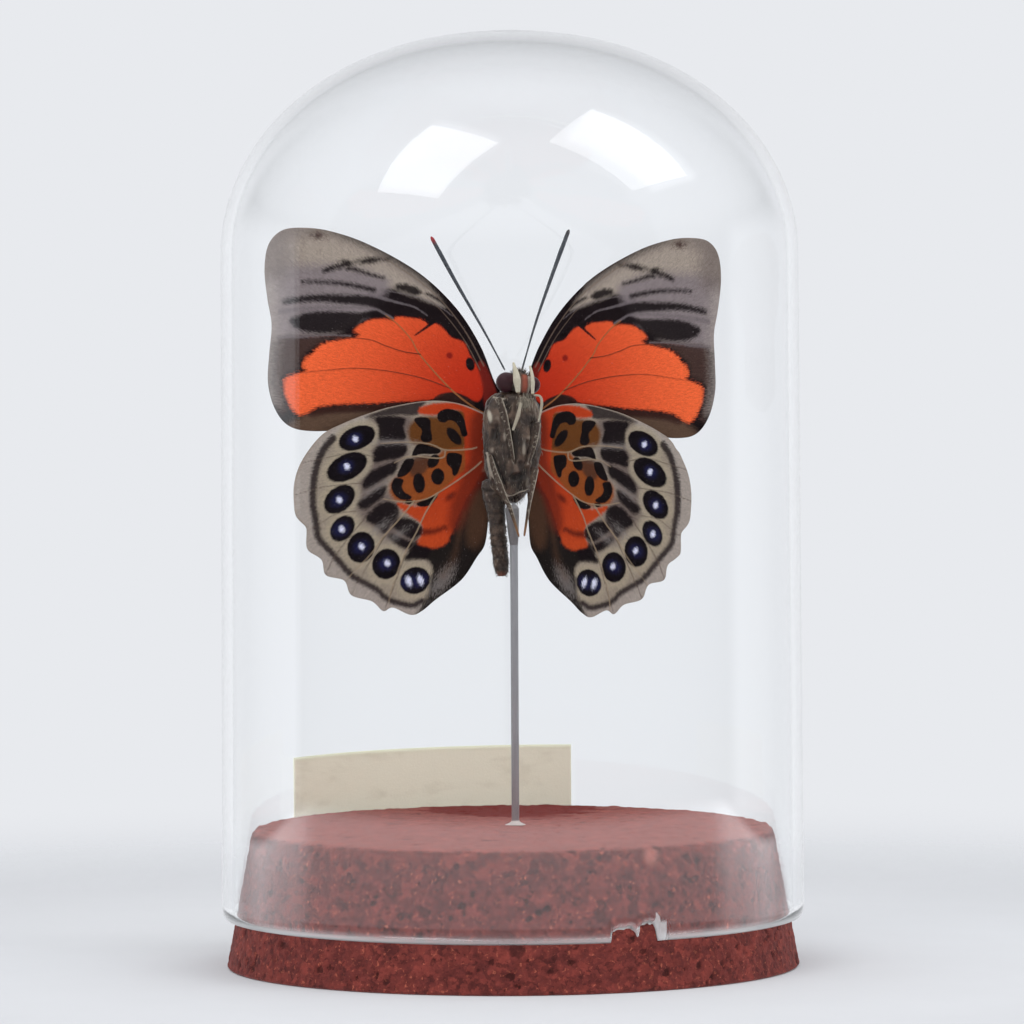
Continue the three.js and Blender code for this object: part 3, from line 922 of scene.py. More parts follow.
class OBJECT_OT_cork_base(bpy.types.Operator):
    """Build the tapered cork base: granules with sunk seams, pits where some are gone, a worn top edge"""

    bl_idname = "object.glass_dome_cork"
    bl_label = "Cork Base"

    def execute(self, context):
        """Turns the profile and sinks each point by its seams, pits, worn edge and a little noise."""
        sizes = context.scene.glass_dome.cork
        height, foot, top = sizes.height / MM, sizes.foot_radius / MM, sizes.top_radius / MM
        edge = 0.6
        side = np.linspace(edge, height - edge, 74)
        slope = foot + (top - foot) * side / height
        turn = np.linspace(0, math.pi / 2, 5)[:-1]
        under = np.stack([foot - edge + edge * np.sin(turn), edge - edge * np.cos(turn)], axis=1)
        bend = turn[1:]
        over = np.stack([top - edge + edge * np.cos(bend), height - edge + edge * np.sin(bend)], axis=1)
        underside = np.stack([np.linspace(6, foot - edge, 6)[:-1], np.zeros(5)], axis=1)
        wall = np.stack([slope, side], axis=1)
        upper_face = np.stack([np.linspace(top - edge, 0.6, 62), np.full(62, height)], axis=1)
        profile = np.concatenate([underside, under, wall, over, upper_face])
        rings = turned(profile, full_turn(620))
        ahead = np.gradient(profile, axis=0)
        normal = np.stack([ahead[:, 1], -ahead[:, 0]], axis=1)
        normal /= np.linalg.norm(ahead, axis=1, keepdims=True)
        out = rings * (1, 1, 0) / np.maximum(profile[:, :1, None], 1e-6) * normal[:, :1, None]
        out[..., 2] = normal[:, 1:]
        # Coarse granules, and finer ones that give the pits.
        gap, own = granules(rings, sizes.granule / MM, SEED)
        fine_gap, fine_own = granules(rings, 1.05, SEED + 40)
        seam = np.exp(-((gap / 0.1) ** 2)) * sizes.relief / MM
        # Pits where fine granules are missing: sunk into the surface, and darkened with painted shade by the
        # material.
        shaded_pit = clamp((fine_own - 0.93) / 0.03) * clamp(fine_gap / 0.2)
        gone = clamp((own - 0.965) / 0.02) * clamp(gap / 0.25)
        from_edge = np.hypot(rings[..., 0], rings[..., 1]) - top
        worn = np.exp(-(((rings[..., 2] - height) / 0.7) ** 2)) * np.exp(-(from_edge**2))
        ragged = worn * (0.25 + 0.35 * cloud(rings, 1.6, SEED + 3) + 0.3 * (own > 0.7))
        rough = 0.11 * cloud(rings, 0.8, SEED + 5)
        sink = 0.45 * seam + 0.3 * shaded_pit + 0.2 * gone + clamp(ragged) + rough + 0.11
        resting = clamp(rings[..., 2] / 0.8)
        rings = rings - out * (sink * resting)[..., None]
        angle = np.arctan2(rings[..., 0], -rings[..., 1])
        fleck = np.hypot((angle - 0.533) * top / 1.7, (rings[..., 2] - 20.3) / 1.55)
        pale = clamp(1.25 - fleck)
        patch = np.hypot((rings[..., 0] - 0.5) / 16, (rings[..., 1] - 36) / 22)
        patch = patch + 0.25 * cloud(rings, 3.0, SEED + 9)
        wet = clamp((1.05 - patch) * 4) * (rings[..., 2] > height - 1)
        marks = {"shaded_pit": np.maximum(shaded_pit, gone * 0.8), "pale": pale, "wet": wet}
        piece = add_skin("cork_bung", rings * MM, (0, 0, 0), (0, 0, rings[-1, 0, 2] * MM), marks)
        place(piece, cork_material(context.scene.glass_dome.finishes), "cork", "cork_base")
        return {"FINISHED"}


# Heights of the pin and of the glue on it, in millimetres.
PIN_FOOT, PIN_TOP = 10.0, 72.7
GLUE_FOOT, GLUE_TOP = 66.05, 72.35


class OBJECT_OT_pin_and_glue(bpy.types.Operator):
    """Build the steel pin, the bead of glue at its foot and the sheath of glue at the specimen"""

    bl_idname = "object.glass_dome_pin"
    bl_label = "Pin and Glue"

    def execute(self, context):
        """Turns three profiles about the pin's axis: the pin, the bead and the sheath."""
        turn = full_turn(48)
        near_top = PIN_TOP - np.array([1.2, 0.7, 0.3, 0.08])
        heights = np.concatenate([np.linspace(10.1, 11, 4), np.linspace(12, 71, 60), near_top])
        radii = np.interp(heights, [10.1, 11, 71.5, 72.2, PIN_TOP], [0.25, 0.6, 0.62, 0.45, 0.1])
        centre = np.array([PIN_X, PIN_Y, 0])
        rings = turned(np.stack([radii, heights], axis=1), turn) + centre
        ends = np.array([(PIN_X, PIN_Y, PIN_FOOT), (PIN_X, PIN_Y, PIN_TOP)]) * MM
        piece = add_skin("steel_pin", rings * MM, *ends)
        place(piece, steel_material(), "steel", "mounting_pin")

        # A low dome of glue whose foot runs out unevenly over the cork.
        share = np.linspace(0, 1, 22)[1:]
        outer = np.stack([0.64 + 0.95 * share**1.4, 22.66 - 0.72 * share**0.7], axis=1)
        under = np.stack([np.linspace(1.5, 0.7, 6), np.full(6, 21.9)], axis=1)
        rings = turned(np.concatenate([outer, under]), turn)
        spread = 1 + 0.1 * cloud(rings * (1, 1, 0), 0.9, SEED)[..., None] * np.array([1, 1, 0])
        rings = rings * spread + centre
        ends = (centre + (0, 0, 22.72)) * MM, (centre + (0, 0, 21.9)) * MM
        piece = add_skin("foot_glue_bead", rings * MM, *ends)
        place(piece, glue_material(paint(196, 184, 178), 0.15, "foot_glue_milky"), "glue", "foot_glue")

        # The upper glue is drawn out down the pin and leans towards the abdomen.
        heights = np.linspace(GLUE_FOOT, GLUE_TOP, 44)
        share = (heights - GLUE_FOOT) / (GLUE_TOP - GLUE_FOOT)
        radii = 0.66 + 0.5 * share**0.8 - 0.5 * clamp(share - 0.9) * 8
        rings = turned(np.stack([radii, heights], axis=1), turn) + centre
        rings[..., 0] -= (0.28 * share)[:, None]
        rings[..., :2] += 0.05 * cloud(rings, 0.8, SEED)[..., None]
        low, high = rings[0].mean(0) - (0, 0, 0.04), rings[-1].mean(0) + (0, 0, 0.04)
        piece = add_skin("upper_glue_sheath", rings * MM, low * MM, high * MM)
        place(piece, glue_material(paint(128, 124, 124), 0.35, "upper_glue_grey"), "glue", "pin_glue")
        return {"FINISHED"}


# The label in millimetres: its ends in degrees from the back, its two radii, its heights and how much its
# top edge climbs from end to end.
LABEL_FROM, LABEL_TO = -55.4, 12.9
LABEL_INNER, LABEL_OUTER = 43.36, 43.58
LABEL_FOOT, LABEL_TOP, LABEL_SLANT = 12.6, 30.9, 0.6


class OBJECT_OT_paper_label(bpy.types.Operator):
    """Build the bare paper label that curves round the back of the dome"""

    bl_idname = "object.glass_dome_label"
    bl_label = "Paper Label"

    def execute(self, context):
        """Bends a thin strip to an arc at two radii, with a slight wave."""
        # A closed strip: each ring is the paper's own section, up the front and down the back.
        about_back = np.radians(np.linspace(LABEL_FROM, LABEL_TO, 150))
        rise = np.linspace(0, 1, 40)
        share = np.concatenate([rise, rise[::-1]])
        depth = np.repeat([LABEL_INNER, LABEL_OUTER], 40)
        angle, share = np.meshgrid(about_back, share, indexing="ij")
        top = LABEL_TOP + LABEL_SLANT * (angle - angle[0]) / (angle[-1] - angle[0])
        height = LABEL_FOOT + (top - LABEL_FOOT) * share
        radius = np.broadcast_to(depth, angle.shape)
        wave = np.stack([angle * 43, height * 0.7, angle * 0], axis=-1)
        radius = radius - 0.06 * (1 + cloud(wave, 9.0, SEED))
        rings = np.stack([radius * np.sin(angle), radius * np.cos(angle), height], axis=-1)
        border = clamp((height - top + 0.7) / 0.5)
        ends = rings[0].mean(0) * MM, rings[-1].mean(0) * MM
        piece = add_skin("bare_label", rings * MM, *ends, {"border": border})
        place(piece, paper_material(context.scene.glass_dome.finishes), "paper", "paper_label")
        piece.visible_glossy = False
        return {"FINISHED"}


# ---------- pieces: body

# Stations of the thorax and the abdomen as (height, radius) in millimetres, and the thorax's place.
THORAX = (
    (-8.1, 0.8), (-7.4, 1.9), (-6.4, 2.8), (-4.7, 3.7), (-1.3, 4.5), (1.1, 4.65), (4.9, 4.6), (7.4, 4.1),
    (8.7, 3), (9.1, 1.4),
)
THORAX_X, THORAX_W, THORAX_FLATTEN = 0, -0.5, 0.72
HEAD_CENTRE = (0.7, -1.5, 10.5)
# Each eye: name, centre and radius.
EYES = (("compound_eye_left", (-1.4, -1.5, 10.7), 1.62), ("compound_eye_right", (2.75, -1.5, 10.4), 1.35))
ABDOMEN = (
    (-4.6, 1), (-5.4, 1.7), (-7, 1.7), (-9.7, 1.3), (-13.5, 1.15), (-16.5, 1.1), (-18.6, 1),
    (-19.7, 0.5),
)


def body_rings(stations, centre_top, centre_tip, depth, flatten, rows, columns):
    """Rings of a body in specimen millimetres: circles at heights along it, flattened front to back, whose
    middle runs from one x to another."""
    line = even_steps(smooth_line(stations, 12), rows)
    turn = full_turn(columns)
    share = (line[:, 0] - line[0, 0]) / (line[-1, 0] - line[0, 0])
    middle = centre_top + (centre_tip - centre_top) * share
    x = middle[:, None] + line[:, 1:] * np.cos(turn)
    w = depth + flatten * line[:, 1:] * np.sin(turn)
    return np.stack([x, w, np.broadcast_to(line[:, :1], x.shape)], axis=-1)


def outward(rings):
    """Unit directions out of closed rings, from the cross product of the ways along and round them."""
    along = np.gradient(rings, axis=0)
    around = np.roll(rings, -1, axis=1) - np.roll(rings, 1, axis=1)
    across = np.cross(around, along)
    across /= np.linalg.norm(across, axis=-1, keepdims=True) + 1e-12
    middle = rings.mean(axis=1, keepdims=True)
    facing = np.sign(((rings - middle) * across).sum(-1, keepdims=True).sum())
    return across * facing


def scatter(rings, count, seed):
    """Random places on the rings, with the direction out of the surface at each."""
    rng = np.random.default_rng(seed)
    row = rng.integers(1, len(rings) - 1, count)
    column = rng.integers(0, rings.shape[1], count)
    jitter = rng.normal(0, 0.06, (count, 3))
    return rings[row, column] + jitter, outward(rings)[row, column], rng


class OBJECT_OT_butterfly_body(bpy.types.Operator):
    """Build the thorax, the abdomen and the head with its eyes, each with its coat of scales and hairs"""

    bl_idname = "object.glass_dome_body"
    bl_label = "Body"

    def thorax(self, material, hair):
        """A flattened barrel with ridged plates and hollows in front, folds all over and hanging hairs."""
        rings = body_rings(THORAX, THORAX_X, THORAX_X, THORAX_W, THORAX_FLATTEN, 120, 150)
        flat = Flat(rings[..., [0, 2]])
        front = rings[..., 1] < THORAX_W
        plates = any_of(
            flat.stroke(0.1, (-3.1, 8.0), (-2.0, 4.6), (-1.1, 1.2), (-0.5, -1.8), tip=0.08),
            flat.stroke(0.1, (-4.3, -0.4), (-3.6, -3.2), (-2.4, -5.6), tip=0.06),
            flat.stroke(0.09, (3.5, 5.0), (2.9, 1.4), (1.9, -2.1), tip=0.06),
            flat.stroke(0.09, (-2.5, -6.0), (-0.7, -7.1), (0.5, -6.7), (2.2, -5.9), tip=0.05),
        )
        hollows = any_of(
            flat.spot(-1.5, 6.9, 0.55, 1.5, -12),
            flat.stroke(0.3, (-1.6, 4.6), (-0.9, 1.4), (-0.2, -2.0), tip=0.16),
            flat.stroke(0.26, (-3.7, -1.0), (-2.6, -3.4), (-1.2, -6.0), tip=0.16),
            flat.spot(0.3, -4.1, 1.0, 0.6, 15),
            flat.spot(1.7, -3.4, 0.4, 0.8, -12),
            flat.stroke(0.2, (2.6, 4.4), (2.2, 1.0), (1.6, -1.8), tip=0.12),
            flat.spot(-3.4, 2.8, 0.35, 1.6, -10),
        )
        cream = any_of(
            flat.spot(-4.0, 5.4, 0.26, 0.85, 10),
            flat.spot(1.2, 7.6, 0.9, 0.8, 30),
            flat.stroke(0.16, (-3.6, 8.7), (-2.6, 8.2), (-1.9, 8.3), tip=0.1),
        )
        drawn_out = rings * (1.0, 1.0, 0.38)
        folds = 0.36 * cloud(drawn_out, 0.95, SEED) + 0.14 * cloud(drawn_out, 0.4, SEED + 1)
        plate = clamp(plates / 0.1 + 1)
        relief = (0.2 * plate - 0.45 * clamp(hollows / 0.3 + 0.6)) * front + folds
        rings = rings + outward(rings) * relief[..., None]
        # Painted shade in the hollows and the troughs of the folds, and painted highlights on the plates and
        # the tops of the folds.
        hollow_shade = 0.8 * clamp(hollows / 0.3 + 0.5) * front
        marks = {
            "ridge": plate * front + 0.6 * clamp((folds - 0.17) / 0.12),
            "cream": clamp(cream / 0.25 + 0.5) * front,
            "dark": hollow_shade + 0.8 * clamp((-folds - 0.06) / 0.14),
        }
        ends = hang(rings[0].mean(0)), hang(rings[-1].mean(0))
        place(add_skin("hairy_thorax", hang(rings), *ends, marks), material, "body", "thorax")

        roots, out, rng = scatter(rings, 1100, SEED)
        lean = unit(out * 0.3 + np.array([0, 0, -0.9]) + rng.normal(0, 0.22, roots.shape))
        reach = rng.uniform(0.25, 0.75, len(roots))
        place(add_hairs("thorax_hairs", roots, lean, reach, 0.04, (0, 0, -0.08)), hair, "body")

    def abdomen(self, material, hair):
        """A slim cone, ringed by the size of a sine of the height, with hairs that point down."""
        rings = body_rings(ABDOMEN, -2.75, -0.95, 0.6, 0.95, 130, 120)
        height = rings[..., 2]
        segment = np.abs(np.sin((height + 8.1) * math.pi / 1.75))
        relief = 0.14 * segment**0.5 + 0.12 * cloud(rings, 0.55, SEED + 2)
        rings = rings + outward(rings) * relief[..., None]
        spots = 0.3 * clamp(cloud(rings, 0.8, SEED + 4) * 2)
        # Painted shade in the grooves between the segments, with dark spots at random, and pale patches at
        # random.
        marks = {
            "dark": clamp(1.2 - segment * 1.6) * 0.6 + spots,
            "ridge": clamp(cloud(rings, 0.5, SEED + 3) * 3 - 1.6) * 0.5,
            "red": clamp((-18.8 - height) / 0.8) * 0.4,
        }
        ends = hang(rings[0].mean(0)), hang(rings[-1].mean(0))
        place(add_skin("ringed_abdomen", hang(rings), *ends, marks), material, "body", "abdomen")

        roots, out, rng = scatter(rings, 1300, SEED + 1)
        lean = unit(out * 0.62 + np.array([0, 0, -0.8]) + rng.normal(0, 0.2, roots.shape))
        reach = rng.uniform(0.2, 0.5, len(roots))
        place(add_hairs("abdomen_hairs", roots, lean, reach, 0.035, (0, 0, -0.04)), hair, "body")

    def head(self, material, hair, eyes):
        """An ellipsoid with a raised red face, two round eyes, and hairs on its top and back."""
        turn = full_turn(90)
        rise = np.linspace(-math.pi / 2, math.pi / 2, 62)[1:-1, None]
        level = np.cos(rise) * np.cos(turn), np.cos(rise) * np.sin(turn)
        sphere = np.stack([*level, np.sin(rise) * np.ones_like(turn)], axis=-1)
        middle, half_height = np.array(HEAD_CENTRE), 1.95
        rings = middle + sphere * (2.1, 1.55, half_height)
        front = rings[..., 1] < HEAD_CENTRE[1]
        from_crease = np.abs(rings[..., 0] - 1.25)
        face = clamp(1.6 - from_crease / 0.42) * front
        rings = rings + sphere * (0.1 * cloud(rings, 0.6, SEED) + 0.2 * face)[..., None]
        from_crease, height = np.abs(rings[..., 0] - 1.25), rings[..., 2]
        marks = {
            "red": face * clamp((height - 9.0) / 0.5) * clamp((12.2 - height) / 0.4),
            "ridge": np.exp(-((from_crease - 0.8) / 0.18) ** 2) * front,
            "dark": clamp((height - 12.0) / 0.5),
        }
        ends = hang(middle - (0, 0, half_height)), hang(middle + (0, 0, half_height))
        place(add_skin("butterfly_head", hang(rings), *ends, marks), material, "body", "head")
        for name, centre, size in EYES:
            ball = centre + sphere * (size, size * 0.9, size)
            ends = hang(np.array(centre) - (0, 0, size)), hang(np.array(centre) + (0, 0, size))
            place(add_skin(name, hang(ball), *ends), eyes, "body")
        roots, out, rng = scatter(rings, 700, SEED + 2)
        lean = unit(out * 0.7 + np.array([0, -0.1, 0.35]) + rng.normal(0, 0.25, roots.shape))
        top = (np.abs(roots[:, 0] - HEAD_CENTRE[0]) < 1.5) & (roots[:, 2] > 11.8)
        clear = top | (roots[:, 1] > -1.2)
        length_of = rng.uniform(0.3, 0.8, clear.sum())
        hairs = add_hairs("head_hairs", roots[clear], lean[clear], length_of, 0.04, (0, 0, 0.05))
        place(hairs, hair, "body")

    def execute(self, context):
        """Builds the three parts, and the fluff below the palps."""
        finishes = context.scene.glass_dome.finishes
        material = body_material(finishes)
        grey = hair_material("grey_hairs", paint(62, 52, 46), paint(150, 138, 124))
        dark = hair_material("dark_hairs", paint(34, 29, 26), paint(98, 88, 78))
        self.thorax(material, grey)
        self.abdomen(material, dark)
        self.head(material, grey, eye_material())
        # Pale fluff below the palps.
        rng = np.random.default_rng(SEED + 5)
        roots = np.array([1.2, -3.6, 8.0]) + rng.normal(0, 1, (300, 3)) * (0.6, 0.15, 0.5)
        lean = unit(np.array([0, -0.25, -1.0]) + rng.normal(0, 0.25, roots.shape))
        pale = hair_material("pale_hairs", paint(120, 110, 98), paint(186, 176, 158))
        hairs = add_hairs("collar_fluff", roots, lean, rng.uniform(0.4, 1.1, 300), 0.04, (0, 0, 0))
        place(hairs, pale, "body")
        return {"FINISHED"}


# Limbs as (node, name, route through specimen points, radii along it).
LEGS = (
    (
        "foreleg_left", "foreleg_left_cream", ((0.3, -4.4, 7.6), (-0.1, -4.5, 5.6), (-0.9, -4.5, 3.2)),
        (0.22, 0.32, 0.2),
    ),
    (
        "foreleg_right", "foreleg_right_cream",
        ((2.5, -4, 8.8), (3.5, -4.1, 8.6), (3.75, -4.2, 7.4), (3.3, -4.4, 4.8)), (0.14, 0.18, 0.24, 0.14),
    ),
    (
        "midleg_left", "midleg_left_folded", ((-3.1, -3.7, 8.3), (-1.9, -4.3, 4), (-0.6, -4.5, -1.8)),
        (0.5, 0.6, 0.2),
    ),
    (
        "midleg_right", "midleg_right_folded", ((3.4, -3.7, 4.6), (2.8, -4.2, 1.2), (1.8, -4.5, -2)),
        (0.4, 0.42, 0.16),
    ),
    (
        "hindleg_left", "hindleg_left_folded",
        (
            (-4.3, -3.4, -0.6), (-3.5, -4.1, -3.6), (-2, -4.6, -7.4), (-1.1, -4.75, -9.2),
            (0.4, -4.75, -13.5),
        ),
        (0.3, 0.5, 0.34, 0.18, 0.14),
    ),
    (
        "hindleg_right", "hindleg_right_folded",
        ((3.3, -3.6, -2.6), (2.5, -4.4, -5.6), (1.9, -4.75, -8.4), (1.2, -4.75, -13.4)),
        (0.36, 0.4, 0.24, 0.16),
    ),
)
PALPS = (
    (
        "palp_left", "palp_left_scaled", ((-0.6, -2.7, 13.9), (-0.35, -3.8, 11.9), (-0.05, -4, 9)),
        (0.16, 0.62, 0.3),
    ),
    (
        "palp_right", "palp_right_scaled", ((2.1, -2.7, 13.4), (2.25, -3.75, 11.6), (2.3, -4, 8.8)),
        (0.18, 0.34, 0.24),
    ),
)
ANTENNAE = (
    (
        "antenna_left", "antenna_left_clubbed",
        ((-1.55, -1.2, 12.6), (-4.9, -0.7, 18.6), (-9.6, -0.2, 26.4), (-13.66, 0, 33.4)),
    ),
    (
        "antenna_right", "antenna_right_clubbed",
        ((1.2, -1.2, 12.8), (3.4, -0.7, 20.2), (6.1, -0.2, 27.9), (8.7, 0, 35.1)),
    ),
)


class OBJECT_OT_butterfly_limbs(bpy.types.Operator):
    """Build the palps, the clubbed antennae and the folded legs"""

    bl_idname = "object.glass_dome_limbs"
    bl_label = "Legs, Palps and Antennae"

    def execute(self, context):
        """Puts one limb along each listed route."""
        finishes = context.scene.glass_dome.finishes
        cream = tuple(finishes.cream)
        brown = limb_material("leg_chitin", paint(60, 48, 41), paint(178, 166, 148), paint(80, 66, 56))
        tan = limb_material(
            "hind_leg_chitin", paint(66, 53, 45), paint(182, 170, 152), paint(128, 92, 62), (0.7, 0.95),
        )
        pale = limb_material("cream_scales", paint(160, 150, 132), cream, cream)
        palp = limb_material("palp_scales", cream, paint(206, 199, 180), paint(120, 104, 84))
        for node, name, route, radii in LEGS:
            skin = {"f": pale, "m": brown, "h": tan}[node[0]]
            piece = add_limb(name, route, radii, rows=90, flatten=0.6, roughness=0.05)
            place(piece, skin, "leg", node)
        for node, name, route, radii in PALPS:
            place(add_limb(name, route, radii, rows=80, flatten=0.8, roughness=0.07), palp, "palp", node)
        for node, name, route in ANTENNAE:
            tip = paint(150, 44, 50) if node.endswith("left") else paint(60, 56, 58)
            shaft = limb_material(name, paint(68, 71, 76), paint(112, 114, 118), tip)
            radii = (0.16, 0.13, 0.13, 0.14, 0.2, 0.34, 0.3)
            piece = add_limb(name, route, radii, columns=14, rows=220, roughness=0.05)
            place(piece, shaft, "antenna", node)
        return {"FINISHED"}


# ---------- pieces: wings


def wing_grid(edge, pole, columns, rows):
    """Points of a wing in its own plane: rings that grow from a pole inside the wing to its outline."""
    outline = even_steps(smooth_line(edge, 8, closed=True), columns, closed=True)
    reach = np.linspace(0, 1, rows + 1)[1:]
    return np.array(pole) + reach[:, None, None] * (outline - pole), reach


def add_wing(name, edge, pole, root, side, depth, marks_of, veins, camber):
    """A wing as one closed thin skin: rings out over the front face, round the edge and back over the
    other face. Veins stand up as ribs, and marks are distances stored on the points of both faces."""
    points, reach = wing_grid(edge, pole, 330, 128)
    x, v = points[..., 0], points[..., 1]
    flat = Flat(points)
    ribs = any_of(*[flat.stroke(0.1, *vein) for vein in veins])
    swell = 0.05 * clamp(1 + ribs / 0.14) ** 2
    drift = camber(x, v) + 0.05 * cloud(np.stack([x, v, x * 0], axis=-1), 3.0, SEED)
    half = (0.12 * (1 - 0.8 * reach**6))[:, None]
    lift = math.cos(WING_RAISE), math.sin(WING_RAISE)

    def face(towards):
        """One face: it stands off by the drift, half the thickness and the ribs, then tilts up."""
        stand = drift + towards * (half + swell)
        across = x * lift[0] + stand * lift[1]
        return np.stack([side * across, depth + x * lift[1] - stand * lift[0], v], axis=-1)

    rings = np.concatenate([face(1.0), face(-1.0)[::-1]])
    middle = (face(1.0)[0].mean(0), face(-1.0)[0].mean(0))
    bearing = np.arctan2(v - root[1], x - root[0])
    marks = {"ray": bearing * 14, "reach": np.hypot(v - root[1], x - root[0])}
    marks.update(marks_of(flat))
    stored = {key: np.concatenate([value, value[::-1]]) for key, value in marks.items()}
    stored["upper_side"] = np.repeat([0.0, 1.0], len(reach))[:, None] * np.ones(x.shape[1])
    return add_skin(name, hang(rings), hang(middle[0]), hang(middle[1]), stored)


# The main veins as lines of (x, v) in millimetres.
FORE_VEINS = (
    ((3.4, 5.6), (5.5, 6.5), (9.5, 9.5), (14.4, 14.7), (15.9, 17.2), (18.2, 19.65), (20, 20.9)),
    ((9.5, 9.6), (13.5, 11), (17.4, 11.85), (21.2, 12.35), (25.1, 12.5), (28.9, 12.15), (32.8, 11.7)),
    ((14.4, 14.9), (17.4, 15.35), (20.1, 16.2), (22.8, 17.1), (28.9, 17.45), (32.4, 17.2)),
)
HIND_VEINS = (
    ((5.4, 0.4), (6.6, 0.1), (10.3, -0.1), (12.9, 0.8), (16.6, 1), (20.6, 0.7)),
    ((10.3, -0.1), (11, -1.4), (15.8, -1.2), (18.4, -2.3)),
    ((4.6, -1.8), (5.8, -2.9), (8.4, -4.9), (11.4, -6.9), (13.6, -8), (16.9, -8.4), (20, -8)),
    ((15.1, -8.2), (17.3, -11), (19.9, -14), (21.7, -16.6), (24, -19.1), (26, -21.3)),
    ((11.4, -6.9), (13.2, -9.9), (14.7, -13.2), (16.6, -16.9), (18.4, -22.1), (18.9, -25)),
)


